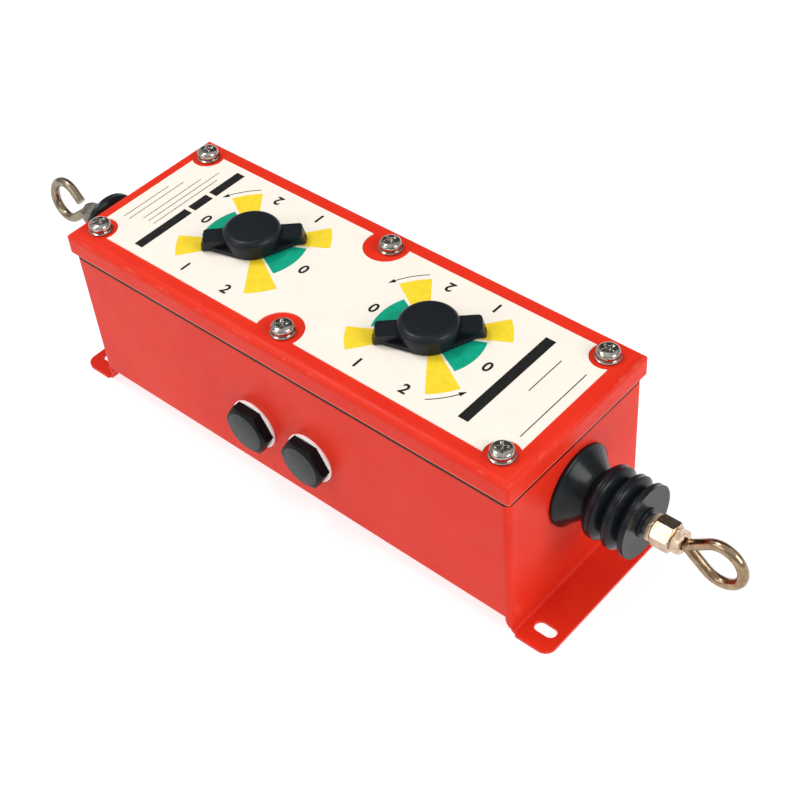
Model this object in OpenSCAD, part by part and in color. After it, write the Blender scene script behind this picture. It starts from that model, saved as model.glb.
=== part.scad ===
// Double-ended rope pull safety switch: a sheet-steel box on two feet, with a spring-loaded
// pull rod, a rubber boot and a rope eye at each end. Each rod carries a rack that turns an
// indicator knob on the lid and moves two contact plungers through a spiral cam.
// X runs along the rods, Y to the back and Z up. The origin is the centre of the four
// foot slots, on the mounting plane.

/* [Enclosure] */
// Length of the body between the outer faces of its end walls
box_len = 237.6; // [225:0.2:255]
// Width of the body over its front and back walls
box_w = 83.1; // [81:0.1:90]
// Height of the lid's top face above the mounting plane
box_h = 87.5; // [84:0.5:100]
// Gap between the mounting plane and the underside of the body
foot_gap = 7; // [5:0.5:9]
// Thickness of the body's sheet
sheet = 1.5; // [1.2:0.1:2]
// Outer bend radius of the body's corners and folds
bend_r = 3; // [2.6:0.1:4]
// Length of a foot, measured out from the end wall
foot_len = 17.5; // [15:0.5:22]
// Radius of the feet's outer corners
foot_corner_r = 5; // [2:0.5:6]
// Width of the flange that the lid closes on
flange_w = 16; // [14.5:0.5:17]

/* [Foot slots] */
// Distance from the face of an end wall to the middle of a slot
slot_reach = 9.2; // [8:0.1:10.5]
// Distance from the body's side to the middle of a slot
slot_inset = 9.55; // [8:0.05:20]
// Width of a slot
slot_w = 5.5; // [4.5:0.1:6.5]
// Length of a slot over its round ends
slot_len = 10; // [7:0.5:11]

/* [Lid] */
// Thickness of the lid's sheet
lid_sheet = 1; // [0.8:0.1:1.5]
// Gap between the lid's skirt and the body
lid_gap = 0.2; // [0.2:0.1:1]
// Height of the lid's skirt, from its top face to its rim
lid_skirt = 10.2; // [8:0.2:14]
// Outer radius of the lid's folded edges
lid_fold_r = 3.5; // [2.6:0.1:5]
// Thickness of the lid's gasket
gasket_t = 1.6; // [1:0.1:3]
// Thickness of the dial label
label_t = 0.4; // [0.2:0.1:1]
// Margin between the label and the lid's ends
label_margin_x = 7; // [4:0.5:10]
// Margin between the label and the lid's long sides
label_margin_y = 8.05; // [5:0.05:10]
// Radius of the notches round the corner screws
corner_notch_r = 7.4; // [6.5:0.1:10]
// Radius of the notches round the middle screws
middle_notch_r = 10.3; // [6.5:0.1:12]
// Distance of the middle notches from the middle, towards the left end
middle_notch_shift = 2; // [0:0.5:4]

/* [Lid screws] */
// Distance from the body's end to the nearest screws
screw_inset_x = 9.8; // [8:0.1:11]
// Distance from the body's side to a row of screws
screw_inset_y = 9.55; // [8:0.05:10.5]
// Thread diameter of the lid screws
screw_d = 5; // [4:0.5:5]
// Length of a lid screw under its head
screw_len = 16; // [12:1:18]
// Diameter of a screw's pan head
screw_head_d = 9.5; // [8.5:0.1:10]
// Height of a screw's pan head
screw_head_h = 3.7; // [3:0.1:4]
// Diameter of a lid washer
washer_d = 10.4; // [9.5:0.1:12]
// Thickness of a lid washer
washer_t = 1; // [0.6:0.1:1.5]

/* [Conduit plugs] */
// Distance between the two conduit entries
entry_spacing = 32; // [29:0.5:36]
// Height of the conduit entries above the mounting plane
entry_z = 34.65; // [28:0.5:40]
// Thread diameter of the conduit entries
entry_d = 20; // [16:1:20]
// Width across the flats of a plug's head
plug_flats = 19; // [18:0.5:22]
// Height of a plug's head
plug_head_h = 5.3; // [4:0.1:8]
// Diameter of a plug's sealing washer
seal_d = 24.5; // [22:0.1:26]
// Thickness of a plug's sealing washer
seal_t = 1.5; // [1:0.1:2.5]

/* [Pull rods] */
// Height of the rods above the mounting plane
rod_z = 51; // [49:0.5:53]
// Diameter of a pull rod
rod_d = 8; // [7:0.5:9]
// Travel of a rod from slack to fully pulled
rod_travel = 12.5; // [8:0.5:12.5]
// Thread diameter of a rod's outer end
rod_thread_d = 6; // [5:0.5:6]
// Thread diameter of the guide bush
bush_d = 16; // [14:0.5:18]
// Width across the flats of the coupling sleeve
sleeve_flats = 11.2; // [9.4:0.2:12]
// Length of the coupling sleeve
sleeve_len = 8; // [7:0.5:12]
// Thickness of the collar nut behind the sleeve
collar_t = 2.2; // [1.5:0.1:3]
// Width across the flats of the eye's lock nut
nut_flats = 8.8; // [7.6:0.1:9]
// Thickness of the eye's lock nut
nut_t = 4; // [3:0.5:5]

/* [Rope eyes] */
// Thread diameter of an eye's shank
eye_thread_d = 5; // [4:0.5:5]
// Diameter of an eye's wire
wire_d = 4.4; // [3.5:0.1:4.6]
// Radius of an eye's loop, at the middle of its wire
eye_r = 9.1; // [7.5:0.1:11]
// Distance from an eye's neck to the middle of its loop
eye_reach = 14.8; // [13:0.1:18]
// Turn of the left eye about its shank
left_eye_turn = 8.5; // [0:0.5:20]
// Free length of wire at the open end of the left eye
open_end_len = 6.5; // [4:0.5:8]

/* [Boots] */
// Diameter of a boot's foot on the end wall
boot_foot_d = 35.6; // [32:0.2:38]
// Diameter of a boot's crests
crest_d = 30.8; // [27:0.2:33]
// Diameter of a boot's valleys
valley_d = 22.6; // [20:0.2:24]
// Distance from one crest to the next
crest_pitch = 6.7; // [6:0.1:8]
// Number of crests
crests = 3; // [2:1:4]
// Wall thickness of a boot
boot_wall = 1.2; // [0.8:0.1:1.5]

/* [Indicators] */
// Distance between the two spindles
spindle_spacing = 96; // [92:1:100]
// Diameter of a spindle
spindle_d = 8; // [7:0.5:8]
// Module of the rack and the pinion
gear_module = 1; // [0.9:0.1:1]
// Number of teeth of a pinion
pinion_teeth = 18; // [17:1:20]
// Width of the rack's and the pinion's teeth
face_w = 8; // [6:0.5:8]
// Angle of a knob's wings from the box's length when the rope is slack
slack_angle = 42; // [35:1:45]
// Travel of a contact plunger over the whole turn
cam_lift = 2.5; // [1.5:0.1:2.5]
// Mean radius of a cam
cam_r = 9.75; // [9:0.25:10]
// Span of a knob over its wing tips
knob_span = 44.6; // [40:0.2:48]
// Diameter of a knob's cap
cap_d = 24.6; // [23:0.2:26]
// Height of a knob's cap above the lid
cap_h = 9.8; // [9:0.1:13]
// Width of a knob's wings
wing_w = 9.2; // [7:0.2:10]
// Height of a knob's wings above the lid
wing_h = 6.2; // [5:0.1:8]

/* [Contact blocks] */
// Width of a contact block along the box
block_w = 24; // [20:1:26]
// Height of a contact block
block_h = 22; // [18:1:22]
// Diameter of a contact plunger
plunger_d = 5; // [4:0.5:6]

/* [Hidden] */
$fn = 64;

// Clearances
fit = 0.05;
hole_gap = 0.25;
seat_gap = 0.3;

// Enclosure
half_len = box_len / 2;
half_w = box_w / 2;
lid_half_len = half_len + lid_gap + lid_sheet;
lid_half_w = half_w + lid_gap + lid_sheet;
body_top = box_h - lid_sheet - gasket_t;
floor_z = foot_gap + sheet;
foot_bend_r = 1.5;
flange_edge_r = bend_r;
weld_nut_h = 4;
weld_nut_flats = 8;
slot_spacing_x = box_len + 2 * slot_reach;
slot_spacing_y = box_w - 2 * slot_inset;
screw_places = [for (y = [-1, 1], x = [-1:1])
    [x * (half_len - screw_inset_x), y * (half_w - screw_inset_y)]];

// Lid stack
label_top = box_h + label_t;
washer_top = box_h + washer_t;
recess_w = 1.1;
recess_len = 5.2;
recess_depth = 2;

// Conduit plugs
entry_wall_y = -half_w;
plug_thread_len = 9;
plug_chamfer = 0.6;
locknut_flats = 24;
locknut_t = 4.5;

// Rod line, as distances out from the end wall
bush_flange_t = 3;
bush_flange_flats = 19;
bush_nose_d = 14;
bush_nose_len = 7;
bush_inner_len = 12;
bush_nut_flats = 22;
bush_nut_t = 5;
neck_x = 1.4 * crest_pitch;
first_crest_x = 2.3 * crest_pitch;
last_crest_x = first_crest_x + (crests - 1) * crest_pitch;
boot_cap = crest_pitch / 2;
boot_end_x = last_crest_x + 0.75 * crest_pitch;
boot_lip_t = 1.5;
boot_edge = 0.6;
boot_foot_r = boot_foot_d / 2;
boot_nose_r = 6.6;
crest_r = crest_d / 2;
valley_r = valley_d / 2;
collar_x = boot_end_x;
sleeve_x = collar_x + collar_t;
lock_x = sleeve_x + sleeve_len;
eye_neck_x = lock_x + nut_t + 0.6;
eye_x = eye_neck_x + eye_reach;
thread_len = 3.5;
collar_turn = 7;
sleeve_turn = 43;
nut_turn = 22;
neck_r = wire_d / 2 + 0.25;

// Carriage and rack
carriage_t = 8;
carriage_h = 13;
carriage_gap = 9;
carriage_lip = 2;
carriage_x = spindle_spacing / 2 + pinion_teeth * gear_module / 2 + carriage_gap;
rack_back = 6;
spring_wire_d = 1.6;
spring_turns = 9;
spring_steps = 16;
spring_sides = 8;
spring_r = 6.4;
spring_x0 = carriage_x + carriage_t;
spring_x1 = half_len - sheet - bush_inner_len;

// Gears: the pitch circle rolls on the rack's pitch line
pitch_r = pinion_teeth * gear_module / 2;
pressure_angle = 20;
addendum = gear_module;
dedendum = 1.25 * gear_module;
backlash = 0.16;
tooth_pitch = PI * gear_module;
rack_first = -ceil(rod_travel / tooth_pitch) - 2;
rack_last = 2;
turn = rod_travel / pitch_r * 180 / PI;

// Spindle levels
chassis_top = 22;
spindle_foot_z = chassis_top - sheet - 4;
cam_z = 30;
cam_t = 4;
pinion_z = rod_z - face_w / 2;
shoulder_d = 12;
spindle_top = box_h + cap_h - 3;
bush_head_d = 20;
bush_head_t = 0.8;
bush_body_d = 14;
knob_z = box_h + bush_head_t + seat_gap;
knob_base_t = 1.5;
knob_hub_r = cap_d / 2 - 1.3;
cap_rise = box_h + cap_h - knob_z;
cap_round = 3;

// Cam: a rising and a falling spiral, each long enough for the whole turn
cam_low = cam_r - cam_lift / 2;
cam_high = cam_r + cam_lift / 2;
cam_lead = 9;

// Contact blocks
block_y = 19.5;
block_edge = 1.55;
block_d = half_w - sheet - 1 - block_edge - block_y;
block_step = 3;
block_z = chassis_top;
plunger_z = cam_z + cam_t / 2;
plunger_hold = 8;
guide_gap = 0.2;
guide_w = 5;

// Chassis
chassis_len = 2 * (spindle_spacing / 2 + block_w / 2 + 4);
chassis_half_w = block_y + block_d + block_edge;
window_half_len = spindle_spacing / 2 - block_w / 2 - 4;
window_y = half_w - plug_thread_len - 2;

// ---------------------------------------------------------------- helpers

// Rectangle with round corners, by its half sizes
module round_rect(half_x, half_y, r) {
    hull_x = half_x - r;
    hull_y = half_y - r;
    square([2 * hull_x, 2 * half_y], center = true);
    square([2 * half_x, 2 * hull_y], center = true);
    for (x = [-1, 1], y = [-1, 1])
        translate([x * hull_x, y * hull_y]) circle(r);
}

// Folded sheet box: corner_r is the plan radius, low_r rounds the two long bottom edges
// and high_r the four top ones
module folded_box(half_x, half_y, z0, z1, corner_r, low_r, high_r) {
    intersection() {
        translate([0, 0, z0]) linear_extrude(z1 - z0) round_rect(half_x, half_y, corner_r);
        rotate([90, 0, 0]) translate([0, 0, -half_y - 1])
            linear_extrude(2 * half_y + 2) edge_profile(half_x, z0, z1, 0, high_r);
        rotate([90, 0, 90]) translate([0, 0, -half_x - 1])
            linear_extrude(2 * half_x + 2) edge_profile(half_y, z0, z1, low_r, high_r);
    }
}

// Cross-section of a folded box: square at the bottom where low_r is 0
module edge_profile(half, z0, z1, low_r, high_r) {
    mid = (z0 + z1) / 2;
    translate([-half, z0 + low_r]) square([2 * half, z1 - high_r - z0 - low_r]);
    translate([-half + high_r, mid]) square([2 * (half - high_r), z1 - mid]);
    translate([-half + low_r, z0]) square([2 * (half - low_r), mid - z0]);
    for (s = [-1, 1]) {
        translate([s * (half - high_r), z1 - high_r]) circle(high_r);
        if (low_r > 0) translate([s * (half - low_r), z0 + low_r]) circle(low_r);
    }
}

// Places a part made for the right-hand end on either end; the left one is turned half round
module at_end(side) {
    rotate([0, 0, side == "right" ? 0 : 180]) children();
}

// Hexagonal prism along +X from x0, by the width across its flats, with a round bore
module hex_nut_x(x0, t, flats, bore_r, turn = 0) {
    translate([x0, 0, rod_z]) rotate([0, 90, 0]) difference() {
        rotate([0, 0, 30 + turn]) cylinder(h = t, r = flats / sqrt(3), $fn = 6);
        translate([0, 0, -1]) cylinder(h = t + 2, r = bore_r);
    }
}

// Solid of revolution about the rod line, from [distance out from the end wall, radius] points
module rod_revolve(points) {
    translate([half_len, 0, rod_z]) rotate([0, 90, 0])
        rotate_extrude() polygon([for (p = points) [p[1], p[0]]]);
}

// ---------------------------------------------------------------- enclosure

module enclosure_body() {
    color("red") difference() {
        union() {
            body_shell();
            for (side = ["left", "right"]) at_end(side) end_skirt();
            for (p = screw_places) translate([p[0], p[1], body_top - sheet - weld_nut_h])
                rotate([0, 0, 30]) cylinder(h = weld_nut_h + sheet / 2, r = weld_nut_flats / sqrt(3), $fn = 6);
        }
        for (p = screw_places) translate([p[0], p[1], body_top - sheet - weld_nut_h - 1])
            cylinder(h = sheet + weld_nut_h + 2, r = screw_d / 2 + fit);
        for (s = [-1, 1]) translate([s * entry_spacing / 2, entry_wall_y - 1, entry_z])
            rotate([-90, 0, 0]) cylinder(h = sheet + 2, r = entry_d / 2 + hole_gap);
        for (side = ["left", "right"]) at_end(side)
            translate([half_len - sheet - 1, 0, rod_z]) rotate([0, 90, 0])
                cylinder(h = sheet + 2, r = bush_d / 2 + hole_gap);
        for (x = [-1, 1], y = [-1, 1])
            translate([x * slot_spacing_x / 2, y * slot_spacing_y / 2, -1]) foot_slot();
    }
}

// Floor, walls and the inward flange under the lid
module body_shell() {
    difference() {
        folded_box(half_len, half_w, foot_gap, body_top, bend_r, bend_r, flange_edge_r);
        folded_box(half_len - sheet, half_w - sheet, floor_z, body_top - sheet,
                   bend_r - sheet, bend_r - sheet, flange_edge_r - sheet);
        translate([0, 0, body_top - sheet - 1]) linear_extrude(sheet + 2)
            round_rect(half_len - flange_w, half_w - flange_w, bend_r);
    }
}

// The end wall carries on below the floor and bends outwards into the foot
module end_skirt() {
    bend_z = sheet + foot_bend_r;
    skirt_half_w = half_w - 1;
    intersection() {
        difference() {
            translate([0, 0, bend_z]) linear_extrude(foot_gap + sheet) round_rect(half_len, half_w, bend_r);
            translate([0, 0, bend_z - 1]) linear_extrude(foot_gap + sheet + 2)
                round_rect(half_len - sheet, half_w - sheet, bend_r - sheet);
        }
        rotate([90, 0, 0]) translate([0, 0, -half_w]) linear_extrude(box_w)
            polygon([[half_len - sheet, bend_z], [half_len + 1, bend_z], [half_len + 1, foot_gap + bend_r],
                     [half_len - bend_r, foot_gap + bend_r], [half_len - bend_r, foot_gap]]);
    }
    translate([half_len + foot_bend_r, skirt_half_w, bend_z]) rotate([90, 0, 0])
        linear_extrude(2 * skirt_half_w) intersection() {
            difference() {
                circle(foot_bend_r + sheet);
                circle(foot_bend_r);
            }
            translate([-bend_z, -bend_z]) square(bend_z);
        }
    translate([half_len + foot_bend_r, 0, 0]) linear_extrude(sheet) foot_plan();
}

// Plan of a foot: its outer corners are round
module foot_plan() {
    reach = foot_len - foot_bend_r;
    translate([0, -half_w]) square([reach - foot_corner_r, box_w]);
    translate([0, -half_w + foot_corner_r]) square([reach, box_w - 2 * foot_corner_r]);
    for (s = [-1, 1]) translate([reach - foot_corner_r, s * (half_w - foot_corner_r)])
        circle(foot_corner_r);
}

module foot_slot() {
    straight = slot_len - slot_w;
    linear_extrude(sheet + 2) {
        square([straight, slot_w], center = true);
        for (s = [-1, 1]) translate([s * straight / 2, 0]) circle(slot_w / 2);
    }
}

// ---------------------------------------------------------------- lid

module lid() {
    rim_z = box_h - lid_skirt;
    color("red") difference() {
        folded_box(lid_half_len, lid_half_w, rim_z, box_h, 1.2, 0, lid_fold_r);
        folded_box(lid_half_len - lid_sheet, lid_half_w - lid_sheet, rim_z - 1, box_h - lid_sheet,
                   0.5, 0, lid_fold_r - lid_sheet);
        for (p = screw_places) translate([p[0], p[1], box_h - lid_sheet - 1])
            cylinder(h = lid_sheet + 2, r = screw_d / 2 + hole_gap);
        for (s = [-1, 1]) translate([s * spindle_spacing / 2, 0, box_h - lid_sheet - 1])
            cylinder(h = lid_sheet + 2, r = bush_body_d / 2 + hole_gap);
    }
}

module lid_gasket() {
    inset = lid_fold_r - lid_sheet - lid_gap;
    color("dimgray") translate([0, 0, body_top]) linear_extrude(gasket_t) difference() {
        round_rect(half_len - inset, half_w - inset, 2);
        round_rect(half_len - flange_w + 0.5, half_w - flange_w + 0.5, 2);
        for (p = screw_places) translate(p) circle(screw_d / 2 + hole_gap);
    }
}

module dial_label() {
    color("ivory") translate([0, 0, box_h]) linear_extrude(label_t) difference() {
        square(2 * [lid_half_len - label_margin_x, lid_half_w - label_margin_y], center = true);
        for (p = screw_places)
            if (p[0] == 0) translate([-middle_notch_shift, p[1]]) circle(middle_notch_r);
            else translate(p) circle(corner_notch_r);
        for (s = [-1, 1]) translate([s * spindle_spacing / 2, 0]) circle(bush_head_d / 2 + hole_gap);
    }
}

// Pan head with a shallow crown and a cross recess
module lid_screw(i) {
    p = screw_places[i - 1];
    r = screw_head_d / 2;
    crown_r = 1.6 * screw_head_h;
    edge_h = 0.45 * screw_head_h;
    color("silver") translate([p[0], p[1], washer_top]) difference() {
        union() {
            rotate_extrude() intersection() {
                translate([0, edge_h]) scale([r / (screw_head_h - edge_h), 1])
                    circle(screw_head_h - edge_h);
                square([r, screw_head_h]);
            }
            cylinder(h = edge_h, r = r);
            translate([0, 0, -screw_len]) cylinder(h = screw_len, r = screw_d / 2);
        }
        for (a = [0, 90]) rotate([0, 0, a + 20])
            translate([-recess_len / 2, -recess_w / 2, screw_head_h - recess_depth])
                cube([recess_len, recess_w, recess_depth + 1]);
    }
}

module lid_washer(i) {
    p = screw_places[i - 1];
    color("silver") translate([p[0], p[1], box_h]) difference() {
        cylinder(h = washer_t, r = washer_d / 2);
        translate([0, 0, -1]) cylinder(h = washer_t + 2, r = screw_d / 2 + hole_gap);
    }
}

// ---------------------------------------------------------------- conduit entries

// Turns a part made along +Z so that it points out of the front wall at one entry
module at_entry(side) {
    s = side == "right" ? 1 : -1;
    translate([s * entry_spacing / 2, entry_wall_y, entry_z]) rotate([90, 0, 0]) children();
}

module conduit_plug(side) {
    corner_r = plug_flats / sqrt(3);
    face_r = plug_flats / 2;
    color("black") at_entry(side) {
        intersection() {
            translate([0, 0, seal_t]) cylinder(h = plug_head_h, r = corner_r, $fn = 6);
            rotate_extrude() polygon([[0, 0], [corner_r + 1, 0], [corner_r + 1, seal_t + plug_head_h - plug_chamfer - 1],
                [face_r, seal_t + plug_head_h], [0, seal_t + plug_head_h]]);
        }
        translate([0, 0, -plug_thread_len]) cylinder(h = plug_thread_len + seal_t + 0.01, r = entry_d / 2);
    }
}

module plug_seal(side) {
    color("white") at_entry(side) difference() {
        cylinder(h = seal_t, r = seal_d / 2);
        translate([0, 0, -1]) cylinder(h = seal_t + 2, r = entry_d / 2 + fit);
    }
}

module plug_locknut(side) {
    color("dimgray") at_entry(side) translate([0, 0, -sheet - locknut_t]) difference() {
        cylinder(h = locknut_t, r = locknut_flats / sqrt(3), $fn = 6);
        translate([0, 0, -1]) cylinder(h = locknut_t + 2, r = entry_d / 2 + fit);
    }
}

// ---------------------------------------------------------------- rod line

module rod_bush(side) {
    color("goldenrod") at_end(side) difference() {
        union() {
            rod_revolve([[-sheet - bush_inner_len, 0], [-sheet - bush_inner_len, bush_d / 2 - 0.5],
                         [-sheet - bush_inner_len + 0.5, bush_d / 2], [0.01, bush_d / 2], [0.01, 0]]);
            rod_revolve([[bush_flange_t - 0.01, 0], [bush_flange_t - 0.01, bush_nose_d / 2],
                         [bush_nose_len - 0.5, bush_nose_d / 2], [bush_nose_len, bush_nose_d / 2 - 0.5],
                         [bush_nose_len, 0]]);
            hex_nut_x(half_len, bush_flange_t, bush_flange_flats, rod_d / 2 + fit);
        }
        translate([half_len - sheet - bush_inner_len - 1, 0, rod_z]) rotate([0, 90, 0])
            cylinder(h = sheet + bush_inner_len + bush_nose_len + 2, r = rod_d / 2 + fit);
    }
}

module bush_nut(side) {
    color("silver") at_end(side)
        hex_nut_x(half_len - sheet - bush_nut_t, bush_nut_t, bush_nut_flats, bush_d / 2 + fit);
}

// Outline of the boot's skin, from its foot along the cone and over the crests, grown by d
function boot_skin(d) = let (
        neck_r = valley_r - boot_edge,
        mid_r = (crest_r + valley_r) / 2,
        swing = (crest_r - valley_r) / 2)
    concat(
    [[boot_lip_t, boot_foot_r + d], [boot_lip_t + boot_edge, boot_foot_r - boot_edge + d],
     [neck_x - 2 * boot_edge, valley_r + d], [neck_x, neck_r + d]],
    [for (t = [0.2:0.2:1]) [neck_x + t * (first_crest_x - 2 * boot_edge - neck_x),
        neck_r + (crest_r - neck_r) * sin(90 * t) + d]],
    [for (k = [0:(crests - 1) * 10]) [first_crest_x + k * crest_pitch / 10,
        mid_r + swing * cos(36 * k) + d]],
    [for (a = [18:18:90]) [last_crest_x + (boot_cap + d) * sin(a),
        boot_nose_r + (crest_r + d - boot_nose_r) * cos(a)]]);

module boot(side) {
    inner = boot_skin(-boot_wall);
    bore_r = rod_d / 2 + seat_gap;
    color("#202225") at_end(side) rod_revolve(concat(
        [[0, boot_foot_r - 2 * boot_wall], [0, boot_foot_r]],
        boot_skin(0),
        [[boot_end_x, boot_nose_r], [boot_end_x, bore_r], [last_crest_x + boot_cap - boot_wall, bore_r]],
        [for (k = [len(inner) - 1:-1:1]) inner[k]]));
}

// Compression spring round the rod: its first and last turns are closed up
function spring_height(turn_no, length) = let (
        open_pitch = (length - 3 * spring_wire_d) / (spring_turns - 2))
    spring_wire_d / 2 + (turn_no < 1 ? turn_no * spring_wire_d
    : turn_no < spring_turns - 1 ? spring_wire_d + (turn_no - 1) * open_pitch
    : spring_wire_d + (spring_turns - 2) * open_pitch + (turn_no - spring_turns + 1) * spring_wire_d);

module return_spring(side) {
    length = spring_x1 - spring_x0 - 2 * seat_gap;
    steps = spring_turns * spring_steps;
    points = [for (k = [0:steps], j = [0:spring_sides - 1]) let (
            a = 360 * k / spring_steps,
            r = spring_r + spring_wire_d / 2 * cos(360 * j / spring_sides),
            h = spring_height(k / spring_steps, length) + spring_wire_d / 2 * sin(360 * j / spring_sides))
        [h, r * cos(a), r * sin(a)]];
    skin = [for (k = [0:steps - 1], j = [0:spring_sides - 1]) let (
            next = (j + 1) % spring_sides,
            low = k * spring_sides,
            high = low + spring_sides)
        [low + j, high + j, high + next, low + next]];
    ends = [[for (j = [0:spring_sides - 1]) j],
            [for (j = [spring_sides - 1:-1:0]) steps * spring_sides + j]];
    color("gray") at_end(side) translate([spring_x0 + seat_gap, 0, rod_z])
        polyhedron(points, concat(skin, ends), convexity = 10);
}

// ---------------------------------------------------------------- rack and pinion

// Tooth of the rack in its own outline: its middle on the pitch line
function rack_tooth(x) = let (
        half = tooth_pitch / 4 - backlash / 2,
        lean_tip = addendum * tan(pressure_angle),
        lean_root = dedendum * tan(pressure_angle))
    [[x - half - lean_root, dedendum], [x - half + lean_tip, -addendum],
     [x + half - lean_tip, -addendum], [x + half + lean_root, dedendum]];

// Point of an involute at radius r, turned by a from the tooth's middle line
function involute_angle(r) = let (c = pitch_r * cos(pressure_angle) / r)
    tan(acos(c)) * 180 / PI - acos(c);
function flank_half_angle(r) = let (
        base_r = pitch_r * cos(pressure_angle),
        at_pitch = 90 / pinion_teeth - backlash / (2 * pitch_r) * 180 / PI)
    at_pitch + involute_angle(pitch_r) - (r > base_r ? involute_angle(r) : 0);
function polar(r, a) = [r * cos(a), r * sin(a)];

// Outline of the pinion, tooth by tooth, with a tooth space facing the rack's first tooth
function pinion_outline() = let (
        root_r = pitch_r - dedendum,
        tip_r = pitch_r + addendum,
        base_r = pitch_r * cos(pressure_angle),
        radii = [root_r, base_r + 0.02, pitch_r - 0.2, pitch_r + 0.4, tip_r])
    [for (i = [0:pinion_teeth - 1]) let (mid = 90 + (i + 0.5) * 360 / pinion_teeth)
        each concat([for (k = [0:4]) polar(radii[k], mid - flank_half_angle(radii[k]))],
                    [for (k = [4:-1:0]) polar(radii[k], mid + flank_half_angle(radii[k]))])];

// Rod, carriage and rack in one piece: the rack runs beside the spindle
module pull_rod(side) {
    spindle_x = spindle_spacing / 2;
    rack_x0 = spindle_x + (rack_first - 0.5) * tooth_pitch;
    rack_y = pitch_r + dedendum;
    color("silver") at_end(side) {
        translate([carriage_x + carriage_t - 0.01, 0, rod_z]) rotate([0, 90, 0])
            cylinder(h = half_len + boot_end_x - carriage_x - carriage_t + 0.01, r = rod_d / 2);
        translate([half_len + boot_end_x - 0.01, 0, rod_z]) rotate([0, 90, 0])
            cylinder(h = collar_t + thread_len + 0.01, r = rod_thread_d / 2);
        translate([carriage_x, -rod_d / 2 - carriage_lip, rod_z - carriage_h / 2])
            cube([carriage_t, rack_y + rack_back + rod_d / 2 + carriage_lip, carriage_h]);
        translate([0, 0, rod_z - face_w / 2]) linear_extrude(face_w) {
            translate([rack_x0, rack_y]) square([carriage_x - rack_x0 + 0.01, rack_back]);
            for (i = [rack_first:rack_last])
                polygon([for (p = rack_tooth(spindle_x + i * tooth_pitch)) [p[0], pitch_r + p[1] + 0.001]]);
        }
    }
}

module collar_nut(side) {
    color("tan") at_end(side)
        hex_nut_x(half_len + collar_x, collar_t, sleeve_flats, rod_thread_d / 2 + fit, collar_turn);
}

module coupling_sleeve(side) {
    color("tan") at_end(side) translate([half_len + sleeve_x, 0, rod_z]) rotate([0, 90, 0]) difference() {
        rotate([0, 0, 30 + sleeve_turn]) cylinder(h = sleeve_len, r = sleeve_flats / sqrt(3), $fn = 6);
        translate([0, 0, -1]) cylinder(h = thread_len + 1.2, r = rod_thread_d / 2 + fit);
        translate([0, 0, sleeve_len - thread_len - 0.2]) cylinder(h = thread_len + 1.2, r = eye_thread_d / 2 + fit);
    }
}

module lock_nut(side) {
    color("tan") at_end(side)
        hex_nut_x(half_len + lock_x, nut_t, nut_flats, eye_thread_d / 2 + fit, nut_turn);
}

// Eye bent from one wire in the upright plane of the rod, closed on the right and open on the left
module rope_eye(side) {
    shank_x = half_len + sleeve_x + sleeve_len - thread_len;
    color("tan") at_end(side) {
        translate([shank_x, 0, rod_z]) rotate([0, 90, 0])
            cylinder(h = half_len + eye_neck_x - 0.6 - shank_x, r = eye_thread_d / 2);
        translate([half_len + eye_neck_x - 0.7, 0, rod_z]) rotate([0, 90, 0])
            cylinder(h = 0.7, r = neck_r);
        translate([half_len + eye_neck_x, 0, rod_z])
            rotate([side == "left" ? left_eye_turn : 0, 0, 0]) eye_loop(side == "left");
    }
}

// Two legs tangent to the loop leave the neck; on an open eye the upper one stops short
module eye_loop(open) {
    lean = asin(eye_r / eye_reach);
    leg_end = sqrt(eye_reach * eye_reach - eye_r * eye_r);
    leg_start = wire_d / 4;
    leg_r = wire_d / 2 - 0.02;
    lap = 0.4;
    upper_start = open ? leg_end - open_end_len : leg_start;
    sphere(r = neck_r);
    rotate([0, 90 + lean, 0]) translate([0, 0, leg_start])
        cylinder(h = leg_end + lap - leg_start, r = leg_r);
    rotate([0, 90 - lean, 0]) translate([0, 0, upper_start])
        cylinder(h = leg_end + lap - upper_start, r = leg_r);
    translate([eye_reach, 0, 0]) rotate([90, 0, 0])
        rotate([0, 0, -90 - lean]) rotate_extrude(angle = 180 + 2 * lean)
            translate([eye_r, 0]) circle(wire_d / 2);
}

// ---------------------------------------------------------------- indicators

// Places a part made on the Z axis on a spindle
module at_spindle(side) {
    at_end(side) translate([spindle_spacing / 2, 0, 0]) children();
}

module spindle_bush(side) {
    color("white") at_spindle(side) difference() {
        union() {
            translate([0, 0, box_h]) cylinder(h = bush_head_t, r = bush_head_d / 2);
            translate([0, 0, box_h - lid_sheet - 3]) cylinder(h = lid_sheet + 3.01, r = bush_body_d / 2);
        }
        translate([0, 0, box_h - lid_sheet - 4]) cylinder(h = lid_sheet + 8, r = spindle_d / 2 + fit);
    }
}

module spindle(side) {
    r = spindle_d / 2;
    shoulder = shoulder_d / 2;
    color("silver") at_spindle(side) {
        translate([0, 0, spindle_foot_z]) cylinder(h = spindle_top - spindle_foot_z, r = r);
        translate([0, 0, chassis_top + seat_gap]) cylinder(h = cam_z - chassis_top - seat_gap, r = shoulder);
        translate([0, 0, cam_z + cam_t]) cylinder(h = pinion_z - cam_z - cam_t, r = shoulder);
    }
}

module pinion(side) {
    color("goldenrod") at_spindle(side) translate([0, 0, pinion_z]) difference() {
        linear_extrude(face_w) polygon(pinion_outline());
        translate([0, 0, -1]) cylinder(h = face_w + 2, r = spindle_d / 2 + fit);
    }
}

// Radius of the cam at profile angle a: it rises from 90 degrees and falls from 270
function cam_radius(a) = let (
        slope = cam_lift / turn,
        low = cam_low - slope * cam_lead,
        high = cam_high + slope * cam_lead)
    a < 90 - cam_lead ? low
    : a < 90 + turn + cam_lead ? cam_low + slope * (a - 90)
    : a < 270 - cam_lead ? high
    : a < 270 + turn + cam_lead ? cam_high - slope * (a - 270)
    : low;

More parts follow.
